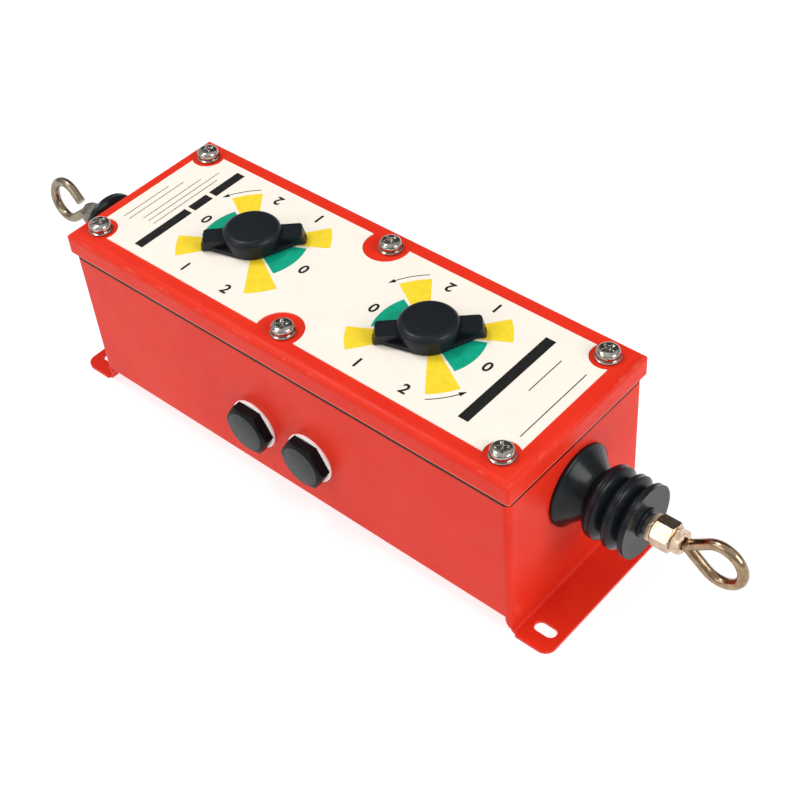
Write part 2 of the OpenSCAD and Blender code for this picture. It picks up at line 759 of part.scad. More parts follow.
module cam(side) {
    color("white") at_spindle(side) translate([0, 0, cam_z]) difference() {
        linear_extrude(cam_t) polygon([for (a = [0:4:356]) polar(cam_radius(a), a)]);
        translate([0, 0, -1]) cylinder(h = cam_t + 2, r = spindle_d / 2 + fit);
    }
}

// Knob: a lens-shaped base, a hub that widens upwards to a rounded cap, and two square wings
// that overhang the base
module knob(side) {
    color("#242628") at_spindle(side) rotate([0, 0, slack_angle]) difference() {
        union() {
            translate([0, 0, knob_z]) linear_extrude(knob_base_t) lens_plan();
            translate([0, 0, knob_z]) rotate_extrude() polygon(concat(
                [[0, 0], [knob_hub_r - 0.1, 0]],
                [for (a = [0:15:90]) [cap_d / 2 + cap_round * (cos(a) - 1), cap_rise + cap_round * (sin(a) - 1)]],
                [[0, cap_rise]]));
            folded_box(knob_span / 2 - 1, wing_w / 2, knob_z + knob_base_t / 2, box_h + wing_h, 1.4, 0, 0.8);
        }
        translate([0, 0, knob_z - 1]) cylinder(h = spindle_top - knob_z + 1.05, r = spindle_d / 2 + fit);
    }
}

// Plan of the knob's base: a round middle and straight tangents to the two tips
module lens_plan() {
    tip_r = 2.6;
    tip_x = knob_span / 2 - tip_r;
    a = acos((knob_hub_r - tip_r) / tip_x);
    circle(knob_hub_r);
    for (s = [-1, 1]) translate([s * tip_x, 0]) circle(tip_r);
    polygon([for (q = [[1, 1], [-1, 1], [-1, -1], [1, -1]])
        each (q[0] * q[1] > 0
            ? [tangent_point(tip_x, tip_r, a, q), tangent_point(0, knob_hub_r, a, q)]
            : [tangent_point(0, knob_hub_r, a, q), tangent_point(tip_x, tip_r, a, q)])]);
}
function tangent_point(x, r, a, q) = [q[0] * (x + r * cos(a)), q[1] * r * sin(a)];

// ---------------------------------------------------------------- contacts and chassis

// A part made for the back of the right-hand spindle; the slack contact stands in front of it
module at_contact(side, state) {
    at_spindle(side) rotate([0, 0, state == "pulled" ? 0 : 180]) children();
}

module contact_block(side, state) {
    color("lightgray") at_contact(side, state) difference() {
        union() {
            translate([-block_w / 2, block_y, block_z]) cube([block_w, block_d, block_h - 2 * block_step]);
            translate([-block_w / 2, block_y + block_step, block_z])
                cube([block_w, block_d - 2 * block_step, block_h]);
        }
        translate([0, block_y - 1, plunger_z]) rotate([-90, 0, 0])
            cylinder(h = plunger_hold + cam_lift + 2, r = plunger_d / 2 + fit);
        for (x = [-1, 1]) translate([x * block_w / 4, block_y + block_d / 2, block_z + block_h - 2])
            cylinder(h = 3, r = 2.2);
    }
}

// Plunger with a ball end on the cam's rim
module plunger(side, state) {
    rim = state == "pulled" ? cam_low : cam_high;
    tip = rim + seat_gap + plunger_d / 2;
    hold = state == "pulled" ? plunger_hold : plunger_hold + cam_lift;
    color("orangered") at_contact(side, state) translate([0, tip, plunger_z]) {
        sphere(r = plunger_d / 2);
        rotate([-90, 0, 0]) cylinder(h = block_y + hold - tip, r = plunger_d / 2);
    }
}

// Bent plate on the floor of the box: it carries the spindles, the contacts and the rack guides
module mechanism_chassis() {
    guide_y = pitch_r + dedendum + rack_back + guide_gap;
    color("silver") difference() {
        union() {
            translate([-chassis_len / 2, -chassis_half_w, chassis_top - sheet])
                cube([chassis_len, 2 * chassis_half_w, sheet]);
            for (s = [-1, 1]) translate([-chassis_len / 2, s * (chassis_half_w - sheet / 2) - sheet / 2, floor_z])
                cube([chassis_len, sheet, chassis_top - floor_z - 0.01]);
            for (side = ["left", "right"], x = [-1, 1]) at_spindle(side)
                translate([x * (block_w / 2 - guide_w / 2) - guide_w / 2, guide_y, chassis_top - 0.01])
                    cube([guide_w, sheet, rod_z + face_w / 2 - chassis_top]);
        }
        for (side = ["left", "right"]) at_spindle(side)
            translate([0, 0, chassis_top - sheet - 1]) cylinder(h = sheet + 2, r = spindle_d / 2 + fit);
        for (s = [-1, 1]) translate([-window_half_len, s > 0 ? window_y : -half_w, floor_z - 1])
            cube([2 * window_half_len, half_w - window_y, chassis_top - floor_z + 2]);
    }
}

// ---------------------------------------------------------------- assembly

enclosure_body();
lid();
lid_gasket();
dial_label();
mechanism_chassis();
for (i = [1:6]) {
    lid_screw(i);
    lid_washer(i);
}
for (side = ["left", "right"]) {
    conduit_plug(side);
    plug_seal(side);
    plug_locknut(side);
    rod_bush(side);
    bush_nut(side);
    boot(side);
    return_spring(side);
    pull_rod(side);
    collar_nut(side);
    coupling_sleeve(side);
    lock_nut(side);
    rope_eye(side);
    spindle_bush(side);
    knob(side);
    spindle(side);
    pinion(side);
    cam(side);
    for (state = ["pulled", "slack"]) {
        contact_block(side, state);
        plunger(side, state);
    }
}
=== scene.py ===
"""Looks of the double-ended rope pull switch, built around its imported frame."""

import math

import bmesh
import bpy
from bpy.props import FloatProperty, FloatVectorProperty, IntProperty, PointerProperty
from mathutils import Matrix, Vector


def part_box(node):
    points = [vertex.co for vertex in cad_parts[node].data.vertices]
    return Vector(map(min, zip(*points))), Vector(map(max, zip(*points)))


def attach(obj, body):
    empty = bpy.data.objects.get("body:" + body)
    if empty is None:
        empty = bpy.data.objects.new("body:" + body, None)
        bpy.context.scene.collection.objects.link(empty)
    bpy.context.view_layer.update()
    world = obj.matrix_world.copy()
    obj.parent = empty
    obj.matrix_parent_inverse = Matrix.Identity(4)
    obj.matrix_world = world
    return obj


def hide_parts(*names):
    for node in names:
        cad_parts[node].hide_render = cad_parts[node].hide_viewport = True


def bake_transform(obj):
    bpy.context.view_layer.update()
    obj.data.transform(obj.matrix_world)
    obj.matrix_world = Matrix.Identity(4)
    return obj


bl_info = {
    "name": "Rope pull switch",
    "version": (1, 0, 0),
    "blender": (4, 5, 0),
    "location": "3D View > Sidebar > Pull switch",
    "description": "Builds the pieces and finishes of a double-ended rope pull switch",
    "category": "Object",
}

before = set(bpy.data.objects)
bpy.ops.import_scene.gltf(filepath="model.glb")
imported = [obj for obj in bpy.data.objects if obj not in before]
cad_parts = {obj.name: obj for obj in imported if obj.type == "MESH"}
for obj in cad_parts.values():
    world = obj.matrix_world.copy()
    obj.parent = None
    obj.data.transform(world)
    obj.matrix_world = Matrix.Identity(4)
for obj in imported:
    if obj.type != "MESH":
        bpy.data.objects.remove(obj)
MM = 0.001
SCREW_COUNT = 6
# Each end's way along X
SIDES = {"left": -1, "right": 1}
# Chamfer of a nut's bore in mm, and the fold angles in degrees past which wires and CAD copies
# are sharp
BORE_CHAMFER, WIRE_SHARP, FOLD_SHARP = 0.25, 50.0, 28.0
# Points this close are one, in metres: in a spun skin and in a CAD copy
SPIN_WELD, CAD_WELD = 1e-7, 1e-6


def middle(node):
    """Middle of a CAD node's box, in metres."""
    low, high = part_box(node)
    return (low + high) / 2


def size(node):
    """Sides of a CAD node's box, in metres."""
    low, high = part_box(node)
    return high - low


def turn_about(axis, degrees):
    """Turn about an axis through the origin."""
    return Matrix.Rotation(math.radians(degrees), 4, axis)


# The turn that a piece made for the right end takes to stand at each end
END_TURN = {"left": turn_about("Z", 180), "right": Matrix.Identity(4)}
# A piece spun about X is turned up onto Z, or forward out of the front wall
UPRIGHT, FORWARD = turn_about("Y", -90), turn_about("Z", -90)
# Places taken from the frame, in metres
WALL_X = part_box("boot_right")[0].x
ROD_Z = middle("boot_right").z
LABEL_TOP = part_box("dial_label")[1].z
LID_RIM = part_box("lid")[0].z
KNOB_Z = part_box("knob_right")[0].z
KNOB_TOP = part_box("knob_right")[1].z
PLUG_Z = middle("conduit_plug_right").z
SEAL_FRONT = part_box("plug_seal_right")[0].y
FRONT_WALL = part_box("plug_seal_right")[1].y


def linear(hex_colour):
    """sRGB hex colour as linear red, green, blue and alpha."""
    shares = [int(hex_colour[k:k + 2], 16) / 255 for k in (1, 3, 5)]
    return [s / 12.92 if s <= 0.04045 else ((s + 0.055) / 1.055) ** 2.4 for s in shares] + [1.0]


def colour(label, note, hex_colour):
    """Colour property with that default."""
    return FloatVectorProperty(name=label, description=note, default=linear(hex_colour)[:3],
                               subtype="COLOR", min=0.0, max=1.0)


def length(label, note, millimetres):
    """Length property with its default in millimetres."""
    return FloatProperty(name=label, description=note, default=millimetres * MM, min=0.0,
                         unit="LENGTH", precision=5)


class SwitchSizes(bpy.types.PropertyGroup):
    """Sizes of the pieces that the frame doesn't carry itself."""
    crest_r: length("Crest radius", "Radius of a boot's crests", 15.4)
    valley_r: length("Valley radius", "Radius of a boot's valleys", 12.0)
    neck_r: length("Neck radius", "Radius of a boot behind its cone", 10.7)
    crest_pitch: length("Crest pitch", "Distance from one crest to the next", 7.4)
    boot_wall: length("Boot wall", "Thickness of a boot's rubber", 1.2)
    crests: IntProperty(name="Crests", description="Number of crests on a boot", default=3, min=2,
                        max=6)
    steps_around: IntProperty(name="Steps around", description="Faces round a spun piece",
                              default=96, min=24, max=256)
    wire_r: length("Wire radius", "Radius of a rope eye's wire", 2.2)
    eye_r: length("Loop radius", "Radius of an eye's loop, at the middle of its wire", 9.1)
    eye_reach: length("Eye reach", "Distance from an eye's neck to the middle of its loop", 14.8)
    open_end: length("Open end", "Free length of wire at the left eye's open end", 6.5)
    soft_edge: length("Moulded edge", "Radius of the knobs' moulded edges", 0.55)
    turn_seed: IntProperty(name="Turn seed", description="Seed of the screws' random turns",
                           default=4)


class SwitchColours(bpy.types.PropertyGroup):
    """Colours of the finishes that a user would change."""
    paint: colour("Paint", "Powder coat of the body and the lid", "#E2331C")
    film: colour("Label film", "Ground of the dial label", "#F4ECDF")
    green: colour("Set field", "Ink of the set fields", "#00A584")
    yellow: colour("Warning field", "Ink of the slack and pulled fields", "#F3D634")
    ink: colour("Ink", "Ink of the bars, rules and numbers", "#151515")
    knob: colour("Knob", "Moulded knobs", "#181C22")
    rubber: colour("Rubber", "Rubber of the boots", "#12171A")
    plug: colour("Plug", "Moulded conduit plugs", "#0A0B0E")


# ---------------------------------------------------------------- making meshes


def put(tree, kind, settings=None, **inputs):
    """Adds a node with its settings, where a string is its operation, and gives its inputs values
    or links, where a node stands for its first output. In an input's name _ stands for a space,
    and a name such as at_6 for its number."""
    made = tree.nodes.new(kind)
    if isinstance(settings, str):
        settings = {"operation": settings}
    for key, value in (settings or {}).items():
        setattr(made, key, value)
    for key, value in inputs.items():
        place = int(key[3:]) if key.startswith("at_") else key.replace("_", " ")
        if isinstance(value, bpy.types.Node):
            value = value.outputs[0]
        if isinstance(value, bpy.types.NodeSocket):
            tree.links.new(value, made.inputs[place])
        else:
            made.inputs[place].default_value = value
    return made


def add_object(name, data, *materials):
    """Links a mesh with its materials, a lamp or a camera to the scene, at the origin."""
    for material in materials:
        data.materials.append(material)
    made = bpy.data.objects.new(name, data)
    bpy.context.scene.collection.objects.link(made)
    return made


def mesh_of(name, points, edges=(), faces=()):
    """Mesh from points, edges and faces."""
    mesh = bpy.data.meshes.new(name)
    mesh.from_pydata([tuple(p) for p in points], list(edges), list(faces))
    mesh.update()
    return mesh


def mesh_from(shell, name):
    """Mesh of a bmesh, which it frees."""
    mesh = bpy.data.meshes.new(name)
    shell.to_mesh(mesh)
    shell.free()
    return mesh


def clean(mesh, sharp_deg=35.0, weld=2e-7):
    """Welds a mesh, turns its faces outwards and shades it smooth between its sharp edges."""
    shell = bmesh.new()
    shell.from_mesh(mesh)
    bmesh.ops.remove_doubles(shell, verts=shell.verts, dist=weld)
    bmesh.ops.recalc_face_normals(shell, faces=shell.faces)
    shell.to_mesh(mesh)
    shell.free()
    mesh.shade_smooth()
    mesh.set_sharp_from_angle(angle=math.radians(sharp_deg))
    return mesh


def ringed(name, rings, place, closed=False):
    """Skin over rings of (along, radius, angle) in mm about the X axis, put where a matrix says;
    closed joins the last ring to the first, otherwise both ends get a face."""
    count = len(rings[0])
    points = [place @ Vector((x * MM, r * MM * math.cos(a), r * MM * math.sin(a)))
              for ring in rings for x, r, a in ring]
    faces = []
    for k in range(len(rings) if closed else len(rings) - 1):
        low, high = k * count, (k + 1) % len(rings) * count
        faces += [(low + j, low + (j + 1) % count, high + (j + 1) % count, high + j)
                  for j in range(count)]
    if not closed:
        faces += [tuple(range(count)), tuple(range((len(rings) - 1) * count, len(rings) * count))]
    return clean(mesh_of(name, points, faces=faces))


def evaluated_mesh(thing):
    """Plain mesh of an object with its modifiers applied."""
    graph = bpy.context.evaluated_depsgraph_get()
    return bpy.data.meshes.new_from_object(thing.evaluated_get(graph))


def carve(base, others, operation):
    """Joins or cuts solids by a boolean and returns the result as a plain object."""
    for other in others:
        step = base.modifiers.new("Carve", "BOOLEAN")
        step.operation, step.object, step.solver = operation, other, "EXACT"
        step.use_self = True
    mesh = evaluated_mesh(base)
    name = base.name
    for spent in [base, *others]:
        bpy.data.objects.remove(spent)
    return add_object(name, clean(mesh))


def applied(piece, step):
    """Applies a piece's only modifier."""
    mesh = evaluated_mesh(piece)
    piece.modifiers.remove(step)
    piece.data = mesh
    return piece


def soften(piece, radius, segments=3, angle_deg=38.0):
    """Rounds a piece's sharp edges with a bevel."""
    step = piece.modifiers.new("Edges", "BEVEL")
    step.width, step.segments, step.angle_limit = radius, segments, math.radians(angle_deg)
    step.limit_method, step.harden_normals = "ANGLE", True
    return applied(piece, step)


def level(piece):
    """Shades flat faces flat: the larger face sets the normal where it meets a fold."""
    step = piece.modifiers.new("Level", "WEIGHTED_NORMAL")
    step.keep_sharp, step.weight = True, 100
    return applied(piece, step)


def new_tree(name, **wanted):
    """Geometry Nodes tree with inputs for geometry, for what is wanted and for a material, each
    given by its name and its socket's kind, and with a geometry output."""
    tree = bpy.data.node_groups.new(name, "GeometryNodeTree")
    for label, kind in dict(Geometry="Geometry", **wanted, Material="Material").items():
        tree.interface.new_socket(label.replace("_", " "), in_out="INPUT",
                                  socket_type="NodeSocket" + kind)
    tree.interface.new_socket("Geometry", in_out="OUTPUT", socket_type="NodeSocketGeometry")
    return tree, put(tree, "NodeGroupInput").outputs


def close_tree(tree, given, geometry):
    """Ends a tree in Realize Instances and Set Material."""
    real = put(tree, "GeometryNodeRealizeInstances", Geometry=geometry)
    dressed = put(tree, "GeometryNodeSetMaterial", Geometry=real, Material=given["Material"])
    put(tree, "NodeGroupOutput", Geometry=dressed)
    return tree


def grow(name, points, tree, material, sharp_deg=35.0, **values):
    """Runs a tree on a mesh once and keeps the result as a plain object."""
    seed = add_object(name + "_seed", points)
    step = seed.modifiers.new("Grow", "NODES")
    step.node_group = tree
    values["Material"] = material
    for item in tree.interface.items_tree:
        key = item.name.replace(" ", "_")
        if item.item_type == "SOCKET" and item.in_out == "INPUT" and key in values:
            step[item.identifier] = values[key]
    mesh = evaluated_mesh(seed)
    seed.modifiers.remove(step)
    bpy.data.objects.remove(seed)
    if not mesh.polygons:
        raise RuntimeError(f"{name} came out empty")
    return add_object(name, clean(mesh, sharp_deg))


def spin_tree():
    """Spins a profile of (along, radius) points about the X axis."""
    tree, given = new_tree("Spun profile", Steps_Around="Int")
    count = put(tree, "GeometryNodeAttributeDomainSize", Geometry=given["Geometry"])
    wide = put(tree, "ShaderNodeMath", "ADD", at_0=given["Steps Around"], at_1=1.0)
    grid = put(tree, "GeometryNodeMeshGrid", Vertices_X=count.outputs["Point Count"],
               Vertices_Y=wide)
    index = put(tree, "GeometryNodeInputIndex")
    share = put(tree, "ShaderNodeMath", "DIVIDE", at_0=index, at_1=wide)
    along = put(tree, "ShaderNodeMath", "FLOOR", at_0=share)
    step_no = put(tree, "ShaderNodeMath", "FLOORED_MODULO", at_0=index, at_1=wide)
    part = put(tree, "ShaderNodeMath", "DIVIDE", at_0=step_no, at_1=given["Steps Around"])
    angle = put(tree, "ShaderNodeMath", "MULTIPLY", at_0=part, at_1=math.tau)
    spot = put(tree, "GeometryNodeSampleIndex", {"data_type": "FLOAT_VECTOR"}, Index=along,
               Geometry=given["Geometry"], Value=put(tree, "GeometryNodeInputPosition"))
    profile = put(tree, "ShaderNodeSeparateXYZ", Vector=spot)
    sides = []
    for kind in ("COSINE", "SINE"):
        wave = put(tree, "ShaderNodeMath", kind, at_0=angle)
        sides.append(put(tree, "ShaderNodeMath", "MULTIPLY", at_0=wave, at_1=profile.outputs["Y"]))
    place = put(tree, "ShaderNodeCombineXYZ", X=profile.outputs["X"], Y=sides[0], Z=sides[1])
    skin = put(tree, "GeometryNodeSetPosition", Geometry=grid, Position=place)
    merged = put(tree, "GeometryNodeMergeByDistance", Geometry=skin, Distance=SPIN_WELD)
    return close_tree(tree, given, merged)


def wire_tree():
    """Sweeps a round wire along a path; each point's own radius scales it."""
    tree, given = new_tree("Bent wire", Wire_Radius="Float", Sides="Int")
    path = put(tree, "GeometryNodeMeshToCurve", Mesh=given["Geometry"])
    own = put(tree, "GeometryNodeInputNamedAttribute", {"data_type": "FLOAT"}, Name="swell")
    sized = put(tree, "GeometryNodeSetCurveRadius", Curve=path, Radius=own)
    ring = put(tree, "GeometryNodeCurvePrimitiveCircle", Resolution=given["Sides"],
               Radius=given["Wire Radius"])
    skin = put(tree, "GeometryNodeCurveToMesh", Curve=sized, Profile_Curve=ring, Fill_Caps=True)
    return close_tree(tree, given, skin)


def scatter_tree():
    """Puts one object on every point, each with its own random turn about Z."""
    tree, given = new_tree("Set out on points", Part="Object", Turn_Seed="Int")
    part = put(tree, "GeometryNodeObjectInfo", Object=given["Part"])
    chance = put(tree, "FunctionNodeRandomValue", {"data_type": "FLOAT"}, at_2=0.0, at_3=math.tau,
                 Seed=given["Turn Seed"])
    turn = put(tree, "ShaderNodeCombineXYZ", Z=chance.outputs[1])
    dots = put(tree, "GeometryNodeMeshToPoints", Mesh=given["Geometry"])
    spread = put(tree, "GeometryNodeInstanceOnPoints", Points=dots, Rotation=turn,
                 Instance=part.outputs["Geometry"])
    return close_tree(tree, given, spread)


def spun(name, profile_mm, material, sharp_deg=35.0, steps=None):
    """Spins (along, radius) points in mm about the X axis; a profile that starts off the axis is
    closed."""
    loop = [*profile_mm, profile_mm[0]] if profile_mm[0][1] > 0 else profile_mm
    points = [(x * MM, r * MM, 0.0) for x, r in loop]
    line = mesh_of(name, points, edges=[(k, k + 1) for k in range(len(points) - 1)])
    return grow(name, line, trees["spin"], material, sharp_deg,
                Steps_Around=steps or sizes().steps_around)


def wire(name, path, swell, radius, material, sides=28):
    """Bends a wire of that radius along a path of points in metres."""
    line = mesh_of(name, path, edges=[(k, k + 1) for k in range(len(path) - 1)])
    own = line.attributes.new("swell", "FLOAT", "POINT")
    own.data.foreach_set("value", swell)
    return grow(name, line, trees["wire"], material, WIRE_SHARP, Wire_Radius=radius, Sides=sides)


def flat_ring(x, r, angles):
    """Ring of points at one place along and one radius."""
    return [(x, r, a) for a in angles]


def hex_rings(flats, reach, face_r, slope, bore_r=None, steps=8, back=1.0):
    """Rings of (along, radius, angle) for a chamfered hexagon of that reach: the chamfer cuts each
    flat in a curve, as turning does. back is the share of the chamfer that the foot has."""
    angles = [math.radians(60.0 * k / steps) for k in range(6 * steps)]
    sixth = math.radians(60.0)
    wide = [flats / 2 / math.cos(a % sixth - sixth / 2) for a in angles]
    cut = [(r - face_r) * slope for r in wide]
    rings = [flat_ring(0.0, face_r, angles),
             [(back * c, r, a) for c, r, a in zip(cut, wide, angles)],
             [(reach - c, r, a) for c, r, a in zip(cut, wide, angles)],
             flat_ring(reach, face_r, angles)]
    if bore_r:
        edge_r = bore_r + BORE_CHAMFER
        rings = [flat_ring(BORE_CHAMFER, bore_r, angles), flat_ring(0.0, edge_r, angles), *rings,
                 flat_ring(reach, edge_r, angles), flat_ring(reach - BORE_CHAMFER, bore_r, angles)]
    return rings


def turned(piece, matrix):
    """Moves a piece's mesh, not its object."""
    piece.data.transform(matrix)
    piece.data.update()
    return piece


def settle(piece, body, nodes):
    """Rides a finished piece on its body, in the place of its CAD nodes."""
    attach(piece, body)
    if nodes:
        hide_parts(*nodes)
    return piece


def welded(node, name, material, body):
    """A CAD node's solid as one welded shell with smooth folds, in the place of the node."""
    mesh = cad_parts[node].data.copy()
    mesh.materials.clear()
    clean(mesh, FOLD_SHARP, CAD_WELD)
    return settle(level(add_object(name, mesh, material)), body, [node])


def paint_node(node, material):
    """Gives a CAD node its finish."""
    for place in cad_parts[node].material_slots:
        place.material = material


def sizes():
    """The size settings."""
    return bpy.context.scene.switch_sizes


def tint(key):
    """A colour setting, with its alpha."""
    return [*getattr(bpy.context.scene.switch_colours, key), 1.0]


# ---------------------------------------------------------------- finishes

SMOOTH = {"interpolation_type": "SMOOTHSTEP"}
COLOUR_MIX = {"data_type": "RGBA"}
# Noise values at which a patch starts and is full
PATCH_FROM, PATCH_FULL = 0.3, 0.7


def finish(name, ground, drift, patch_mm, roughness, bumps, stretch=(1.0, 1.0, 1.0), **constants):
    """Material whose colour drifts from its ground in soft patches, whose roughness follows
    finer ones, and whose bump is the sum of (feature mm, height mm) layers. A colour is sRGB hex
    or the name of a colour setting."""
    material = bpy.data.materials.new(name)
    material.use_nodes = True
    tree = material.node_tree
    shader = tree.nodes["Principled BSDF"]
    base, tone = (linear(c) if c.startswith("#") else tint(c) for c in (ground, drift))
    place = put(tree, "ShaderNodeTexCoord").outputs["Object"]
    drawn = put(tree, "ShaderNodeMapping", Vector=place, Scale=stretch).outputs[0]
    cloud = put(tree, "ShaderNodeTexNoise", Vector=drawn, Scale=1 / (patch_mm * MM), Detail=5.0,
                Roughness=0.55)
    share = put(tree, "ShaderNodeMapRange", Value=cloud, From_Min=PATCH_FROM, From_Max=PATCH_FULL)
    mixed = put(tree, "ShaderNodeMix", COLOUR_MIX, at_0=share, at_6=base, at_7=tone)
    tree.links.new(mixed.outputs[2], shader.inputs["Base Color"])
    fine = put(tree, "ShaderNodeTexNoise", Vector=drawn, Scale=3 / (patch_mm * MM), Detail=3.0)
    gloss = put(tree, "ShaderNodeMapRange", Value=fine, From_Min=PATCH_FROM, From_Max=PATCH_FULL,
                To_Min=roughness[0], To_Max=roughness[1])
    tree.links.new(gloss.outputs[0], shader.inputs["Roughness"])
    below = None
    for feature_mm, height_mm in bumps:
        grain = put(tree, "ShaderNodeTexNoise", Vector=drawn, Scale=1 / (feature_mm * MM),
                    Detail=2.0)
        layer = put(tree, "ShaderNodeBump", Height=grain, Distance=height_mm * MM, Strength=1.0)
        if below:
            tree.links.new(below.outputs[0], layer.inputs["Normal"])
        below = layer
    if below:
        tree.links.new(below.outputs[0], shader.inputs["Normal"])
    for key, value in constants.items():
        shader.inputs[key.replace("_", " ")].default_value = value
    return material


def overlay(material, mask, shade):
    """Lays another colour over a finish's own where a mask node says."""
    tree = material.node_tree
    base = tree.nodes["Principled BSDF"].inputs["Base Color"]
    mixed = put(tree, "ShaderNodeMix", COLOUR_MIX, at_0=mask,
                at_6=base.links[0].from_socket, at_7=linear(shade))
    tree.links.new(mixed.outputs[2], base)


# Bands along the lid's rim, in mm: their waves' length and height, and where each has none of
# its colour and all of it, above the rim; the first is a painted shadow on the body under the rim,
# the second a painted highlight on the lid's lower rim
BAND_WAVE, BAND_SHIFT = 12.0, 0.3
RIM_SHADOW_BAND, RIM_HIGHLIGHT_BAND = (-3.6, -3.0), (0.6, 0.2)


def banded(material, shade, none_mm, full_mm):
    """Adds a band of another colour to a finish between two heights, uneven along its length."""
    tree = material.node_tree
    place = put(tree, "ShaderNodeTexCoord").outputs["Object"]
    height = put(tree, "ShaderNodeSeparateXYZ", Vector=place).outputs["Z"]
    waver = put(tree, "ShaderNodeTexNoise", Vector=place, Scale=1 / (BAND_WAVE * MM), Detail=3.0)
    shift = put(tree, "ShaderNodeMath", "MULTIPLY_ADD", at_0=waver, at_1=2 * BAND_SHIFT * MM,
                at_2=-BAND_SHIFT * MM)
    uneven = put(tree, "ShaderNodeMath", "ADD", at_0=height, at_1=shift)
    band = put(tree, "ShaderNodeMapRange", SMOOTH, Value=uneven,
               From_Min=LID_RIM + none_mm * MM, From_Max=LID_RIM + full_mm * MM)
    overlay(material, band, shade)


# Pale patches on the lid's folds, partly wear and partly a painted highlight: where they start and
# are full, in mm in from the sides and below the top, their patches in mm, and the noise where a
# patch starts and is full, with the most that it covers
WEAR_SHEEN_SIDE, WEAR_SHEEN_TOP, WEAR_SHEEN_PATCH = (1.6, 0.3), (2.4, 0.8), 14.0
WEAR_SHEEN_FROM, WEAR_SHEEN_FULL, WEAR_SHEEN_MOST = 0.52, 0.68, 0.55


def wear_and_sheen(material, shade):
    """Pales a lid's finish in patches along the folds round its top: partly wear, partly a painted
    highlight.
    """
    tree = material.node_tree
    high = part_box("lid")[1]
    place = put(tree, "ShaderNodeTexCoord").outputs["Object"]
    parts = put(tree, "ShaderNodeSeparateXYZ", Vector=place)
    sides = []
    for axis, half in (("X", high.x), ("Y", high.y)):
        off = put(tree, "ShaderNodeMath", "ABSOLUTE", at_0=parts.outputs[axis])
        sides.append(put(tree, "ShaderNodeMapRange", SMOOTH, Value=off,
                         From_Min=half - WEAR_SHEEN_SIDE[0] * MM, From_Max=half - WEAR_SHEEN_SIDE[1] * MM))
    mask = put(tree, "ShaderNodeMath", "MAXIMUM", at_0=sides[0], at_1=sides[1])
    top = put(tree, "ShaderNodeMapRange", SMOOTH, Value=parts.outputs["Z"],
              From_Min=high.z - WEAR_SHEEN_TOP[0] * MM, From_Max=high.z - WEAR_SHEEN_TOP[1] * MM)
    patches = put(tree, "ShaderNodeTexNoise", Vector=place, Scale=1 / (WEAR_SHEEN_PATCH * MM),
                  Detail=7.0, Roughness=0.7)
    sheen_patches = put(tree, "ShaderNodeMapRange", Value=patches, From_Min=WEAR_SHEEN_FROM,
                 From_Max=WEAR_SHEEN_FULL, To_Max=WEAR_SHEEN_MOST)
    for limit in (top, sheen_patches):
        mask = put(tree, "ShaderNodeMath", "MULTIPLY", at_0=mask, at_1=limit)
    overlay(material, mask, shade)


METAL = dict(Metallic=1.0)
COAT = dict(IOR=1.38, Specular_IOR_Level=0.22)
ORANGE_PEEL = [(1.6, 0.012), (0.5, 0.003)]
INK = dict(IOR=1.5, Specular_IOR_Level=0.2)

